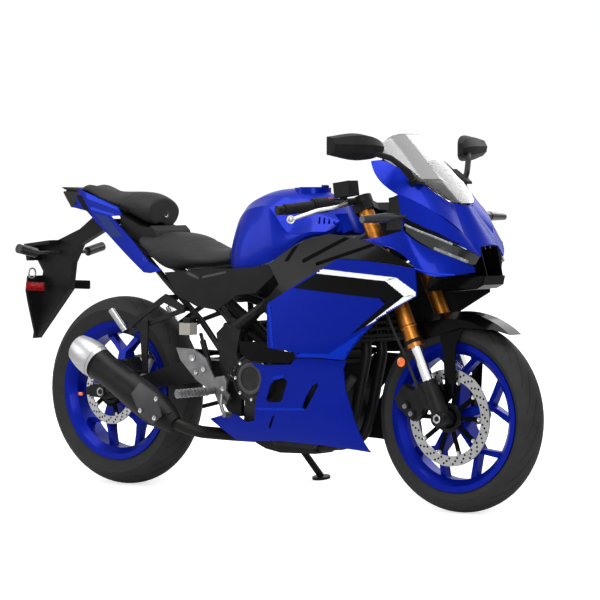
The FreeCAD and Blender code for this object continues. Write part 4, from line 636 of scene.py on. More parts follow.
# A round tube along a smooth curve guided by a few points
tubeDetail = {"order": 3, "steps": 8, "roundSteps": 3}


def addTube(points, radius):
    deselect()
    curve = bpy.data.curves.new("route", "CURVE")
    curve.dimensions = "3D"
    spline = curve.splines.new("NURBS")
    spline.points.add(len(points) - 1)
    for point, place in zip(spline.points, points):
        point.co = (*place, 1)
    spline.use_endpoint_u = True
    spline.order_u = tubeDetail["order"]
    curve.resolution_u = tubeDetail["steps"]
    curve.bevel_depth = radius / 1000
    curve.bevel_resolution = tubeDetail["roundSteps"]
    curve.use_fill_caps = True
    tube = bpy.data.objects.new("tube", curve)
    scene.collection.objects.link(tube)
    activate(tube)
    bpy.ops.object.convert(target="MESH")
    return bpy.context.object


def joined(parts):
    activate(parts[0])
    for part in parts:
        part.select_set(True)
    if len(parts) > 1:
        bpy.ops.object.join()
    return bpy.context.object


def copyOf(piece):
    activate(piece)
    bpy.ops.object.duplicate(linked=False)
    return bpy.context.object


def mirrored(piece):
    twin = copyOf(piece)
    twin.data.transform(Matrix.Scale(-1, 4, sideways))
    return twin


# Copies of a piece all round an axle
def turnedCopies(piece, centre, count):
    copies = [piece]
    for number in range(1, count):
        turn = Matrix.Rotation(math.tau * number / count, 4, sideways)
        twin = copyOf(piece)
        twin.data.transform(Matrix.Translation(centre) @ turn @ Matrix.Translation(-centre))
        copies.append(twin)
    return joined(copies)


def finishPiece(piece, name, finish, body, slotName, instead=(), smooth=32, closed=True):
    mergeDoubles(piece)
    if closed:
        editing(piece, action="SELECT")
        bpy.ops.mesh.normals_make_consistent(inside=False)
        done()
    piece.data.transform(toRow)
    piece.name = name
    piece.data.name = name
    activate(piece)
    bpy.ops.object.shade_smooth_by_angle(angle=math.radians(smooth))
    piece.data.materials.clear()
    piece.data.materials.append(materials[finish])
    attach(piece, body)
    if instead:
        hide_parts(*instead)
    return piece


def bothSides(piece, name, finish, body, slotName, **settings):
    twin = mirrored(piece)
    finishPiece(piece, name + "Right", finish, body, slotName, **settings)
    finishPiece(twin, name + "Left", finish, body, slotName, **settings)


# Finishes a piece as its settings say: on the chassis if they name no body, and once or as a pair
def fit(piece, name, settings):
    finisher = bothSides if settings.get("both") else finishPiece
    finisher(piece, name, settings["finish"], settings.get("body", "chassis"), settings["slot"])


def fitTubes(tubes):
    for name, tube in tubes.items():
        fit(addTube([at(*point) for point in tube["points"]], tube["radius"]), name, tube)


def fitBlocks(blocks):
    for name, block in blocks.items():
        fit(softenEdges(addBlock(at(*block["low"]), at(*block["high"])), block["rounding"]), name, block)


def fitPlates(plates):
    for name, plate in plates.items():
        fit(softenEdges(addPlate(plate["outline"], *plate["across"]), plate["rounding"]), name, plate)


def fitRods(rods):
    for name, rod in rods.items():
        part = addRod(at(*rod["from"]), at(*rod["to"]), rod["radius"], rod["sides"])
        fit(softenEdges(part, rod["rounding"]), name, rod)


def addCollar(centre, axis, ring):
    part = addRing(centre, axis, ring["radius"], ring["inner"], ring["height"], ring.get("sides", 32))
    return softenEdges(part, ring["rounding"])


def fitRings(rings):
    for name, ring in rings.items():
        fit(addCollar(at(*ring["centre"]), ring["axis"], ring), name, ring)


# Each set is one piece, and each of its bolts is given by its centre and its radius
def fitBolts(sets):
    for name, bolts in sets.items():
        parts = []
        for *centre, radius in bolts["bolts"]:
            parts.append(addBolt(at(*centre), bolts["axis"], radius, bolts["height"],
                                 bolts.get("socket", 0.55), bolts.get("sides", 16)))
        fit(joined(parts), name, bolts)


def meshCopy(nodeName):
    copy = bpy.data.objects.new(nodeName + "Copy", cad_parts[nodeName].data.copy())
    scene.collection.objects.link(copy)
    return activate(copy)


# Copies of CAD nodes as one merged surface on the upright bike, to lay thin sheets on
def surfaceOf(nodeNames):
    surface = joined([meshCopy(nodeName) for nodeName in nodeNames])
    surface.name = "projectionSurface"
    surface.data.transform(toBike)
    return mergeDoubles(surface, 0.00001)


# A thin sheet of convex patches that starts away on the right and is pressed onto a surface
sheetPress = {"away": 300, "cuts": 26, "limit": 0.35, "slack": 0.0005}


def addSheet(patches, surface, lift):
    sheets = []
    for outline in patches:
        back, front, bottom, top = spanOf(outline)
        deselect()
        bpy.ops.mesh.primitive_plane_add(size=1, rotation=(math.radians(90), 0, 0), location=at(
            (back + front) / 2, -sheetPress["away"], (bottom + top) / 2))
        sheet = bpy.context.object
        sheet.scale = ((front - back) / 1000, (top - bottom) / 1000, 1)
        bpy.ops.object.transform_apply(location=True, rotation=True, scale=True)
        editing(sheet, action="SELECT")
        bpy.ops.mesh.subdivide(number_cuts=sheetPress["cuts"])
        done()
        sheets.append(trimTo(sheet, outline))
    sheet = joined(sheets)
    applyModifier(sheet, "SHRINKWRAP", target=surface, wrap_method="PROJECT", offset=lift / 1000,
                  use_negative_direction=True, use_positive_direction=True, use_project_y=True,
                  project_limit=sheetPress["limit"], wrap_mode="ABOVE_SURFACE")
    mesh = editing(sheet, "VERT")
    for vertex in mesh.verts:  # what the surface doesn't catch stays away, and is deleted
        vertex.select_set(abs(abs(vertex.co.y) - sheetPress["away"] / 1000) < sheetPress["slack"])
    bmesh.update_edit_mesh(sheet.data)
    bpy.ops.mesh.delete(type="VERT")
    return done()


def laySheets(nodeNames, slotName, sheets):
    surface = surfaceOf(nodeNames)
    for name, sheet in sheets.items():
        stripe = addSheet(sheet["patches"], surface, sheet["lift"])
        bothSides(stripe, name, sheet["finish"], "chassis", slotName, closed=False)
    bpy.data.objects.remove(surface, do_unlink=True)


print("modelling tools ready")

# Padded seats: each starts from its CAD solid, is rounded, and is puffed by a short cloth run. A seam runs
# between two (x, z) places in millimetres, and the other lengths are metres.

seatPadding = {
    "rider_seat": {"name": "riderCushion", "voxel": 0.006, "rounding": 6, "pressure": 3.0, "cap": 0.005,
                   "fill": 0.8,
                   "seam": {"from": (255, 790), "to": (330, 812), "depth": 0.0022, "reach": 0.007}},
    "pillion_seat": {"name": "pillionCushion", "voxel": 0.005, "rounding": 5, "pressure": 3.0, "cap": 0.004,
                     "fill": 0.8,
                     "seam": {"from": (78, 960), "to": (20, 905), "depth": 0.0022, "reach": 0.006}},
}
clothRun = {"frames": 20, "mass": 0.3, "tension": 30, "heldBelow": 0.1}


def puff(cushion, settings):
    rest = [vertex.co.copy() for vertex in cushion.data.vertices]
    underside = cushion.vertex_groups.new(name="underside")
    held = [vertex.index for vertex in cushion.data.vertices if vertex.normal.z < clothRun["heldBelow"]]
    underside.add(held, 1.0, "REPLACE")
    activate(cushion)
    modifier = cushion.modifiers.new("padding", "CLOTH")
    modifier.settings.use_pressure = True
    modifier.settings.uniform_pressure_force = settings["pressure"]
    modifier.settings.effector_weights.gravity = 0
    modifier.settings.vertex_group_mass = "underside"
    modifier.settings.mass = clothRun["mass"]
    modifier.settings.tension_stiffness = clothRun["tension"]
    modifier.point_cache.frame_start = 1
    modifier.point_cache.frame_end = clothRun["frames"]
    for number in range(1, clothRun["frames"] + 1):
        scene.frame_set(number)
    bpy.ops.object.modifier_apply(modifier="padding")
    scene.frame_set(1)
    for vertex, start in zip(cushion.data.vertices, rest):
        moved = vertex.co - start
        if moved.length > settings["cap"]:
            vertex.co = start + moved.normalized() * settings["cap"]


# A stitched channel across the cushion where it crosses an upright plane
def sinkSeam(cushion, seam):
    start = at(seam["from"][0], 0, seam["from"][1])
    across = (at(seam["to"][0], 0, seam["to"][1]) - start).normalized().cross(sideways)
    for vertex in cushion.data.vertices:
        gap = abs((vertex.co - start).dot(across))
        if gap < seam["reach"]:
            vertex.co -= vertex.normal * seam["depth"] * (0.5 + 0.5 * math.cos(math.pi * gap / seam["reach"]))


for seatNode, settings in seatPadding.items():
    cushion = meshCopy(seatNode)
    cushion.data.transform(toBike)
    mergeDoubles(cushion)
    applyModifier(cushion, "REMESH", mode="VOXEL", voxel_size=settings["voxel"])
    applyModifier(cushion, "SMOOTH", factor=0.5, iterations=settings["rounding"])
    puff(cushion, settings)
    sinkSeam(cushion, settings["seam"])
    applyModifier(cushion, "SUBSURF", levels=1, render_levels=1)
    finishPiece(cushion, settings["name"], "seatVinyl", "chassis", seatNode, instead=(seatNode,), smooth=80)
print("seats padded")

# Painted stripes of the side fairings, and painted highlights on their lower lip and rear bevel, laid on the
# panels as thin sheets

fairingPaint = {
    "whiteChevron": {"finish": "whitePaint", "lift": 0.5, "patches": [
        [(1007, 743), (1282, 722), (1244, 711), (986, 729)],
        [(1282, 722), (1368, 669), (1309, 666), (1244, 711)],
        [(1368, 669), (1309, 666), (1171, 572)]]},
    "blackChevron": {"finish": "glossBlack", "lift": 0.4, "patches": [
        [(986, 729), (1244, 711), (1224, 657), (892, 682)],
        [(1244, 711), (1309, 666), (1243, 643), (1224, 657)],
        [(1309, 666), (1171, 572), (1109, 541), (1243, 643)]]},
    "highlightOnLowerLip": {"finish": "paleHighlightBlue", "lift": 0.5, "patches": [
        [(908, 481), (1032, 483), (1108, 462), (905, 462)],
        [(1032, 483), (1226, 593), (1226, 565), (1108, 462)]]},
    "highlightOnRearBevel": {"finish": "paleHighlightBlue", "lift": 0.5, "patches": [
        [(787, 626), (800, 622), (809, 487), (797, 489)]]},
}
laySheets(["side_fairings", "infill_panels"], "side_fairings", fairingPaint)
print("fairing stripes laid")

# Wheels: painted shade in the tread grooves and disc holes, hub collars and carrier bolts

treads = {
    "shadeInFrontTread": {"centre": frontAxle, "body": "front_wheel", "slot": "front_tyre", "radius": 294.4,
                   "arc": 57, "count": 22, "reach": (8, 50), "sweep": 13, "width": 3.2},
    "shadeInRearTread": {"centre": rearAxle, "body": "rear_wheel", "slot": "rear_tyre", "radius": 314.4,
                  "arc": 79.3, "count": 20, "reach": (12, 62), "sweep": 14, "width": 3.6},
}
groove = {"bend": 6, "bends": 3, "turnRadius": 300, "taper": 1.2, "lift": 1.004, "steps": 9}


# A groove is a dark strip of painted shade round the crown at a slant: v runs along it and u across it, both
# from -0.5 to 0.5
def onCrown(tread, side, offset, u, v):
    start, end = tread["reach"]
    across = (start + (end - start) * (v + 0.5)) * side
    slant = offset + tread["sweep"] * (v + 0.5) + groove["bend"] * math.sin(groove["bends"] * v)
    turn = math.radians(slant) + u * tread["width"] / groove["turnRadius"]
    lean = across / tread["arc"]
    radius = tread["radius"] - tread["arc"] * (1 - math.cos(lean))
    sidewards = tread["arc"] * math.sin(lean) * groove["lift"]
    return tread["centre"] + at(radius * math.sin(turn), sidewards, radius * math.cos(turn))


for treadName, tread in treads.items():
    strips = []
    for side, offset in ((-1, 0), (1, 360 / tread["count"] / 2)):
        deselect()
        bpy.ops.mesh.primitive_grid_add(x_subdivisions=2, y_subdivisions=groove["steps"], size=1)
        strip = bpy.context.object
        for vertex in strip.data.vertices:
            taper = 1 - groove["taper"] * vertex.co.y ** 2
            vertex.co = onCrown(tread, side, offset, vertex.co.x * taper, vertex.co.y)
        strips.append(turnedCopies(strip, tread["centre"], tread["count"]))
    finishPiece(joined(strips), treadName, "shadeAndCarrierBlack", tread["body"], tread["slot"], closed=False)

# The drilled holes are drawn as dark plugs: painted shade inside the holes
discHoles = {
    "shadeInFrontDiscHoles": {"centre": frontAxle, "y": -59, "rings": ((124.5, 0), (133, 4.2), (141.5, 8.4)),
                       "count": 26, "radius": 3.7, "body": "front_wheel", "slot": "front_disc"},
    "shadeInRearDiscHoles": {"centre": rearAxle, "y": -76, "rings": ((89.5, 0), (97, 5.4), (104, 10.8)),
                      "count": 20, "radius": 3.5, "body": "rear_wheel", "slot": "rear_disc"},
}
drilling = {"discThickness": 4.5, "proud": 0.15, "rim": 0.6, "sides": 10}
for holesName, holes in discHoles.items():
    rings = []
    for ringRadius, offset in holes["rings"]:
        angle = math.radians(offset)
        centre = holes["centre"] + at(ringRadius * math.sin(angle), holes["y"], ringRadius * math.cos(angle))
        half = at(0, drilling["discThickness"] / 2 + drilling["proud"], 0)
        hole = addRod(centre - half, centre + half, holes["radius"], drilling["sides"])
        selectFaces(hole, lambda face: abs(face.normal.y) > facing)
        bpy.ops.mesh.inset(thickness=drilling["rim"] / 1000)
        done()
        rings.append(turnedCopies(hole, holes["centre"], holes["count"]))
    finishPiece(joined(rings), holesName, "shadeAndCarrierBlack", holes["body"], holes["slot"])

hubCovers = {
    "frontHubCover": {"centre": frontAxle, "body": "front_wheel", "slot": "front_rim",
                      "ring": {"y": -64.5, "radius": 46, "inner": 33, "height": 6},
                      "bolts": {"y": -62.5, "circle": 112, "count": 10, "radius": 6.5, "height": 6}},
    "rearHubCover": {"centre": rearAxle, "body": "rear_wheel", "slot": "rear_rim",
                     "ring": {"y": -81.5, "radius": 42, "inner": 30, "height": 6},
                     "bolts": {"y": -78.55, "circle": 79, "count": 5, "radius": 5.5, "height": 2.2}},
}
for coverName, cover in hubCovers.items():
    ring = cover["ring"]
    collar = addRing(cover["centre"] + at(0, ring["y"], 0), -sideways, ring["radius"], ring["inner"],
                     ring["height"])
    finishPiece(collar, coverName + "0", "mouldedBlack", cover["body"], cover["slot"])
    bolts = cover["bolts"]
    bolt = addBolt(cover["centre"] + at(bolts["circle"], bolts["y"], 0), -sideways, bolts["radius"],
                   bolts["height"])
    finishPiece(turnedCopies(bolt, cover["centre"], bolts["count"]), coverName + "Bolts", "steel",
                cover["body"], cover["slot"])
print("wheels detailed")

# Nose: lamp strips, the black slots along them, and the screen's rim, base plate and screws

noseStrips = {
    "dayLamp": {"points": [(1308, -193, 882), (1341, -181, 866), (1396, -161, 846), (1440, -130, 823)],
                "radius": 3.4, "finish": "lampWhite", "slot": "headlights", "both": True},
    "lowLamp": {"points": [(1392, -158, 812), (1432, -137, 793), (1470, -92, 771)],
                "radius": 5.0, "finish": "lampWhite", "slot": "headlights", "both": True},
    # the cheek rim is lighter blue: a painted highlight along the cheek's edge
    "cheekRim": {"points": [(1349, -198, 752), (1390, -164, 731), (1442, -121, 732)],
                 "radius": 2.4, "finish": "blueEdge", "slot": "nose_cowl", "both": True},
    "screenRim": {"points": [(1178, -133, 1079), (1283, -131, 1029), (1332, -101, 991), (1374, -44, 953)],
                  "radius": 3.0, "finish": "glossBlack", "slot": "windscreen", "both": True},
}
noseSheets = {
    "noseSlot": {"finish": "glossBlack", "lift": 0.8, "patches": [
        [(1300, 902), (1312, 872), (1395, 838), (1400, 858)],
        [(1400, 858), (1395, 838), (1450, 812), (1452, 826)]]},
}
screenPlates = {
    "screenBasePlate": {"outline": [(1262, 1020), (1290, 1008), (1345, 968), (1385, 938), (1340, 940),
                                    (1258, 998)],
                        "across": (-60, 60), "rounding": 6, "finish": "mouldedBlack",
                        "slot": "cockpit_panels"},
}
screenBolts = {
    "screenScrews": {"bolts": [(1235, -136, 1052, 6), (1293, -132, 1024, 6)], "axis": (0, -1, 0.3),
                     "height": 5, "finish": "mouldedBlack", "slot": "windscreen", "both": True},
}
fitTubes(noseStrips)
laySheets(["nose_cowl", "headlights", "nose_intake"], "nose_cowl", noseSheets)
fitPlates(screenPlates)
fitBolts(screenBolts)
print("nose detailed")

# Tail: painted highlight and shade on its facets, black upper edge, lamp strip, seat lock, plate crossbar and
# clip, side reflectors

# The upper facet and ledge are lighter blue, painted highlight, and the lower facet darker blue, painted
# shade
tailSheets = {
    "highlightOnTailUpperFacet": {"finish": "blueEdge", "lift": 0.6, "patches": [
        [(-133, 974), (72, 926), (67, 915), (-119, 953)]]},
    "highlightOnTailLedge": {"finish": "blueEdge", "lift": 0.6, "patches": [
        [(-95, 926), (40, 903), (38, 896), (-86, 915)]]},
    "shadeOnTailLowerFacet": {"finish": "shadeBlue", "lift": 0.5, "patches": [
        [(-68, 902), (0, 896), (88, 829), (24, 828)]]},
    "tailBlackEdge": {"finish": "glossBlack", "lift": 0.6, "patches": [
        [(-190, 968), (-150, 962), (-64, 872), (-80, 868)]]},
}
# The side cover's bevel is a grey strip: a painted highlight along its top edge
coverSheets = {
    "highlightOnSideCoverBevel": {"finish": "coverGrey", "lift": 0.6, "patches": [
        [(389, 724), (447, 705), (447, 698), (389, 714)],
        [(447, 705), (568, 727), (568, 720), (447, 698)]]},
}
plateBlocks = {
    "plateCrossbar": {"low": (-342, -108, 648), "high": (-336, 108, 664), "rounding": 3,
                      "finish": "mouldedBlack", "slot": "plate_holder"},
    "reflectorBacking": {"low": (-356, -112, 641), "high": (-270, -108, 671), "rounding": 1.2,
                         "finish": "mouldedBlack", "slot": "plate_holder", "both": True},
}
sideReflector = {"low": (-354, -116, 643), "high": (-272, -112, 669), "rim": 3, "face": 1,
                 "finish": "lampRed", "slot": "plate_holder", "both": True}
tailStrips = {
    "tailLampStrip": {"points": [(-243, -44, 975), (-222, -48, 948), (-204, -46, 926)], "radius": 3,
                      "finish": "lampRed", "slot": "rear_lamps", "both": True},
}
tailRings = {
    "plateClip": {"centre": (-345, -95, 700), "axis": (-1, 0, 0), "radius": 19, "inner": 14, "height": 5,
                  "rounding": 1, "finish": "steel", "slot": "plate_holder"},
    "seatLockRing": {"centre": (170, 8, 901), "axis": (1, -0.1, 0.15), "radius": 13, "inner": 9, "height": 7,
                     "rounding": 1, "sides": 28, "finish": "coverGrey", "slot": "pillion_seat"},
}
tailBolts = {
    "seatLock": {"bolts": [(170, 8, 901, 9)], "axis": (1, -0.1, 0.15), "height": 5, "socket": 0.3,
                 "sides": 20, "finish": "steel", "slot": "pillion_seat"},
}
laySheets(["tail_panels"], "tail_panels", tailSheets)
laySheets(["side_covers"], "side_covers", coverSheets)
fitBlocks(plateBlocks)
reflector = addBlock(at(*sideReflector["low"]), at(*sideReflector["high"]))
selectFaces(reflector, lambda face: face.normal.y < -facing)
bpy.ops.mesh.inset(thickness=sideReflector["rim"] / 1000)
bpy.ops.transform.translate(value=-sideways * sideReflector["face"] / 1000)
done()
fit(reflector, "sideReflector", sideReflector)
fitTubes(tailStrips)
fitRings(tailRings)
fitBolts(tailBolts)
print("tail detailed")

# Engine: cover rings, case bolts, hoses and leads, and painted highlights on the edges of the lower cowls

engineRings = {
    "engineRing0": {"centre": (688, -177, 389), "radius": 50, "inner": 38, "finish": "coverGrey"},
    "engineRing1": {"centre": (688, -169, 389), "radius": 76, "inner": 69, "finish": "satinBlackMetal"},
    "engineRing2": {"centre": (858, 159, 330), "radius": 42, "inner": 30, "finish": "coverGrey"},
    "engineRing3": {"centre": (930, -127, 300), "radius": 32, "inner": 22, "finish": "satinBlackMetal"},
}
for ring in engineRings.values():
    outward = 1 if ring["centre"][1] > 0 else -1
    ring.update({"axis": (0, outward, 0), "height": 4, "rounding": 1.2, "slot": "engine"})
clutchBolts = {"x": 688, "y": -170, "z": 389, "circle": 66, "count": 8, "radius": 5.5, "height": 6}
engineBolts = {
    "caseBolts": {"bolts": [(640, -142, 236, 5.5), (700, -142, 226, 5.5), (772, -142, 226, 5.5),
                            (826, -142, 276, 5.5), (822, -142, 384, 5.5), (742, -142, 430, 5.5)],
                  "axis": (0, -1, 0), "height": 6, "finish": "steel", "slot": "engine"},
}
hoses = {
    "radiatorHoseLower": {"points": [(1080, -150, 410), (1040, -160, 350), (980, -140, 320),
                                     (930, -128, 302)],
                          "radius": 13, "finish": "rubber", "slot": "engine"},
    "radiatorHoseUpper": {"points": [(1085, -140, 650), (1040, -150, 690), (1000, -120, 670)],
                          "radius": 13, "finish": "rubber", "slot": "engine"},
    "generatorLead": {"points": [(858, 128, 404), (840, 140, 450), (760, 134, 480), (700, 124, 520)],
                      "radius": 6, "finish": "rubber", "slot": "engine"},
    "mainLoom": {"points": [(430, 40, 640), (470, 20, 628), (540, 0, 640), (640, 10, 600)],
                 "radius": 14, "finish": "mouldedBlack", "slot": "engine"},
    "throttleHose": {"points": [(470, -40, 640), (500, -30, 600), (560, -10, 560), (620, 0, 500)],
                     "radius": 16, "finish": "mouldedBlack", "slot": "engine"},
    "breatherHose": {"points": [(360, 20, 620), (400, 0, 600), (470, 10, 560), (570, 0, 505), (640, 0, 470)],
                     "radius": 15, "finish": "mouldedBlack", "slot": "engine"},
    "starterLead": {"points": [(500, 50, 640), (505, 40, 580), (540, 30, 520), (600, 30, 480)],
                    "radius": 10, "finish": "mouldedBlack", "slot": "engine"},
    "fuelLine": {"points": [(640, -60, 600), (600, -66, 560), (560, -60, 520), (580, -50, 470)],
                 "radius": 7, "finish": "mouldedBlack", "slot": "engine"},
}
# Lighter blue strips on the lower cowls' lip and edges: painted highlights
cowlSheets = {
    "highlightOnCowlLip": {"finish": "paleHighlightBlue", "lift": 0.5, "patches": [
        [(705, 299), (912, 308), (908, 300), (710, 291)]]},
    "highlightOnWindowEdge": {"finish": "paleHighlightBlue", "lift": 0.5, "patches": [
        [(797, 392), (841, 402), (843, 409), (795, 399)]]},
    "highlightOnSlotEdge": {"finish": "paleHighlightBlue", "lift": 0.5, "patches": [
        [(908, 310), (925, 347), (931, 344), (914, 307)],
        [(925, 347), (953, 383), (958, 380), (931, 344)]]},
}
fitRings(engineRings)
clutchCentre = at(clutchBolts["x"], 0, clutchBolts["z"])
clutchTop = at(clutchBolts["x"], clutchBolts["y"], clutchBolts["z"] + clutchBolts["circle"])
clutchBolt = addBolt(clutchTop, -sideways, clutchBolts["radius"], clutchBolts["height"])
finishPiece(turnedCopies(clutchBolt, clutchCentre, clutchBolts["count"]), "clutchCoverBolts", "steel",
            "chassis", "engine")
fitBolts(engineBolts)
fitTubes(hoses)
laySheets(["lower_cowls"], "lower_cowls", cowlSheets)
print("engine detailed")

# Silencer, heel plates, footpegs, rear brake and rear axle

silencerRings = {
    "silencerTip": {"along": 1.01, "radius": 30, "inner": 23, "height": 14, "sides": 40, "rounding": 1.5,
                    "finish": "steel", "slot": "muffler"},
    "silencerBand": {"along": silencer["capFrom"], "radius": 52, "inner": 48, "height": 4, "sides": 40,
                     "rounding": 1.5, "finish": "satinBlackMetal", "slot": "muffler"},
}
shieldPlates = {
    "silencerShield": {"outline": [(372, 330), (300, 366), (262, 328), (300, 262), (352, 232), (392, 262)],
                       "across": (-268, -262), "rounding": 2, "finish": "coverGrey", "slot": "muffler"},
}
rearBolts = {
    "shieldBolts": {"bolts": [(374, -270, 316, 8), (306, -270, 275, 8), (366, -270, 254, 8)],
                    "axis": (0, -1, 0), "height": 8, "finish": "steel", "slot": "muffler"},
    "heelPlateBolts": {"bolts": [(422, -150, 444, 13), (439, -150, 398, 8), (470, -150, 410, 10),
                                 (552, -150, 350, 8)],
                       "axis": (0, -1, 0), "height": 7, "finish": "steel", "slot": "rider_footrests",
                       "both": True},
    "rearAxleNut": {"bolts": [(0, -128, stance["rearAxleHeight"], 15)], "axis": (0, -1, 0), "height": 12,
                    "socket": 0.5, "sides": 6, "finish": "steel", "slot": "swingarm", "both": True},
}
footpeg = {"from": (506, -176, 341), "to": (479, -286, 338), "ribs": 9, "radius": 14.5, "inner": 10,
           "height": 5, "sides": 20, "finish": "steel", "slot": "rider_footrests", "both": True}
rearHoses = {
    "rearBrakeHose": {"points": [(405, -150, 519), (406, -148, 480), (440, -132, 440), (470, -128, 400)],
                      "radius": 4, "finish": "rubber", "slot": "rear_brake"},
}
rearBlocks = {
    "rearReflector": {"low": (-94, -136, 298), "high": (-76, -131, 309), "rounding": 2,
                      "finish": "reflectorAmber", "slot": "swingarm"},
}
masterCylinder = {"from": (474, -120, 408), "to": (440, -120, 500), "radius": 10, "sides": 20,
                  "rodRadius": 6, "rodSides": 16, "rodShare": 0.25, "rounding": 1.5,
                  "finish": "satinBlackMetal", "slot": "rear_brake"}

silencerFront = at(*silencer["front"])
silencerRear = at(*silencer["rear"])
for ringName, ring in silencerRings.items():
    centre = silencerFront.lerp(silencerRear, ring["along"])
    fit(addCollar(centre, silencerRear - silencerFront, ring), ringName, ring)
fitPlates(shieldPlates)
fitBolts(rearBolts)

pegStart = at(*footpeg["from"])
pegEnd = at(*footpeg["to"])
pegRibs = []
for number in range(footpeg["ribs"]):
    centre = pegStart.lerp(pegEnd, number / (footpeg["ribs"] - 1))
    pegRibs.append(addRing(centre, pegEnd - pegStart, footpeg["radius"], footpeg["inner"],
                           footpeg["height"], footpeg["sides"]))
fit(joined(pegRibs), "footpegRibs", footpeg)

fitTubes(rearHoses)
fitBlocks(rearBlocks)
masterStart = at(*masterCylinder["from"])
masterEnd = at(*masterCylinder["to"])
rodEnd = masterEnd.lerp(masterStart, -masterCylinder["rodShare"])
master = joined([addRod(masterStart, masterEnd, masterCylinder["radius"], masterCylinder["sides"]),
                 addRod(masterEnd, rodEnd, masterCylinder["rodRadius"], masterCylinder["rodSides"])])
fit(softenEdges(master, masterCylinder["rounding"]), "rearMasterCylinder", masterCylinder)
print("rear detailed")

# Cockpit: dial, lever adjusters, kill switch and mirror bases

cockpitPlates = {
    "dashDisplay": {"outline": [(1211, 996), (1231, 938), (1235, 940), (1215, 998)], "across": (-57, 57),
                    "rounding": 1.5, "finish": "displayGlass", "slot": "cockpit_panels"},
    "mirrorBase": {"outline": [(1250, 1040), (1312, 1004), (1322, 1012), (1262, 1052)],
                   "across": (-138, -108), "rounding": 3, "finish": "mouldedBlack", "slot": "mirrors",
                   "both": True},
}
leverAdjuster = {"centre": (993, -350, 896), "axis": (0.5, -0.8, 0.2), "radius": 13, "inner": 8, "height": 6,
                 "sides": 20, "rounding": 1, "spokeLow": (981, -352, 894.5),
                 "spokeHigh": (1005, -348, 897.5), "finish": "steel", "body": "steering",
                 "slot": "hand_controls", "both": True}
cockpitBlocks = {
    "killSwitch": {"low": (1010, -196, 948), "high": (1026, -182, 962), "rounding": 2, "finish": "switchRed",
                   "body": "steering", "slot": "hand_controls"},
}
cockpitBolts = {
    "mirrorBaseBolts": {"bolts": [(1272, -128, 1038, 5), (1302, -128, 1020, 5)], "axis": (0.4, -0.2, 0.9),
                        "height": 5, "finish": "steel", "slot": "mirrors", "both": True},
}
fitPlates(cockpitPlates)
leverRing = addCollar(at(*leverAdjuster["centre"]), leverAdjuster["axis"], leverAdjuster)
leverSpoke = addBlock(at(*leverAdjuster["spokeLow"]), at(*leverAdjuster["spokeHigh"]))
fit(joined([leverRing, leverSpoke]), "leverAdjuster", leverAdjuster)
fitBlocks(cockpitBlocks)
fitBolts(cockpitBolts)
print("cockpit detailed")

# Fork rings, caliper bolts, axle nuts, front reflectors and brake hose

rakeAngle = math.radians(stance["rake"])
forkLegY = -98
forkRings = {
    "lowerCollar": {"along": 252, "radius": 30, "inner": 24, "height": 12, "finish": "satinBlackMetal"},
    "goldBand": {"along": 300, "radius": 26, "inner": 24.2, "height": 10, "finish": "gold"},
    "upperBand": {"along": 520, "radius": 26, "inner": 24.2, "height": 8, "finish": "gold"},
}
for ring in forkRings.values():
    ring.update({"rounding": 1.2, "body": "steering", "slot": "fork_outers", "both": True})
frontBolts = {
    "caliperBolts": {"bolts": [(1236, -95, 324, 8), (1258, -95, 302, 8), (1300, -95, 370, 8)],
                     "axis": (0, -1, 0), "height": 6, "finish": "graphite", "body": "steering",
                     "slot": "front_brake"},
    "frontAxleNut": {"bolts": [(stance["wheelbase"], -126, stance["frontAxleHeight"], 15)],
                     "axis": (0, -1, 0), "height": 8, "socket": 0.6, "sides": 6, "finish": "steel",
                     "body": "steering", "slot": "fork_legs", "both": True},
}
frontRods = {
    "reflectorHolder": {"from": (1252, -128, 462), "to": (1252, -134, 462), "radius": 18, "sides": 28,
                        "rounding": 1.5, "finish": "mouldedBlack", "body": "steering", "slot": "fork_legs",
                        "both": True},
    "frontReflector": {"from": (1252, -133, 462), "to": (1252, -137, 462), "radius": 14.5, "sides": 28,
                       "rounding": 1.2, "finish": "reflectorAmber", "body": "steering", "slot": "fork_legs",
                       "both": True},
}
# The hose follows the fork by (forward, y, along) and ends on the caliper
brakeHose = {"route": [(-20, -110, 560), (-44, -116, 450), (-46, -118, 330), (-34, -116, 210)],
             "end": (1290, -100, 380), "radius": 4.5}


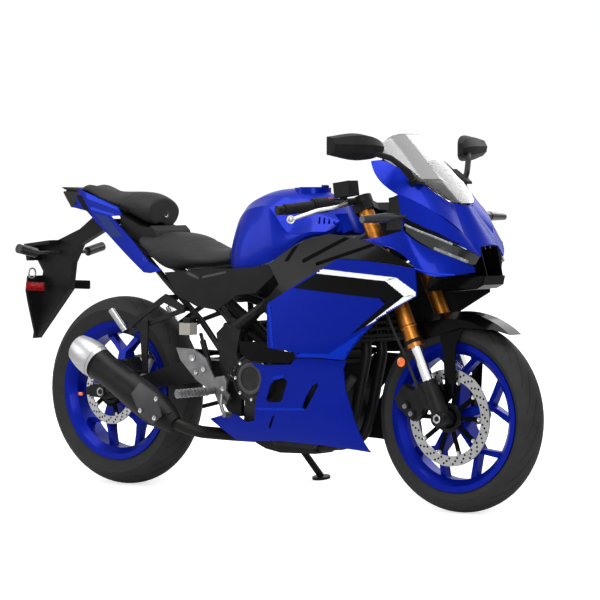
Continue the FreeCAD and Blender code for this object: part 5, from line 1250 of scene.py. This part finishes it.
# A place beside the fork: forward of its axis, across, and up along it from the axle's height
def onFork(forward, y, along):
    return frontAxle + at(math.cos(rakeAngle) * forward - math.sin(rakeAngle) * along, y,
                          math.sin(rakeAngle) * forward + math.cos(rakeAngle) * along)


forkAxis = onFork(0, 0, 10) - onFork(0, 0, 0)
for ringName, ring in forkRings.items():
    fit(addCollar(onFork(0, forkLegY, ring["along"]), forkAxis, ring), ringName, ring)
fitBolts(frontBolts)
fitRods(frontRods)
route = [onFork(*point) for point in brakeHose["route"]] + [at(*brakeHose["end"])]
finishPiece(addTube(route, brakeHose["radius"]), "frontBrakeHose", "rubber", "steering", "front_brake")
print("front detailed")

# Painted shade in the grooves of the panels between tank and fairing, swingarm pivots, and the lower cowls'
# screws

infillSheets = {
    "shadeInUpperBladeGap": {"finish": "shadeAndCarrierBlack", "lift": 0.5, "patches": [
        [(824, 766), (876, 832), (888, 826), (838, 762)]]},
    "shadeInMiddleBladeGap": {"finish": "shadeAndCarrierBlack", "lift": 0.5, "patches": [
        [(900, 770), (1090, 852), (1096, 842), (910, 760)]]},
    "shadeInLowerBladeGap": {"finish": "shadeAndCarrierBlack", "lift": 0.5, "patches": [
        [(960, 762), (1190, 826), (1194, 816), (966, 752)]]},
}
pivotRings = {
    "pivotBoss": {"centre": (573, -122, 398), "axis": (0, -1, 0), "radius": 26, "inner": 14, "height": 8,
                  "rounding": 1.5, "finish": "coverGrey", "slot": "frame", "both": True},
}
panelBolts = {
    "pivotNut": {"bolts": [(573, -123, 398, 13)], "axis": (0, -1, 0), "height": 10, "socket": 0.6, "sides": 6,
                 "finish": "steel", "slot": "frame", "both": True},
    "cowlScrews": {"bolts": [(619, -150, 251, 7), (919, -170, 311, 7), (979, -172, 451, 7)],
                   "axis": (0, -1, 0), "height": 5, "finish": "mouldedBlack", "slot": "lower_cowls",
                   "both": True},
}
laySheets(["infill_panels"], "infill_panels", infillSheets)
fitRings(pivotRings)
fitBolts(panelBolts)
print("panels detailed")
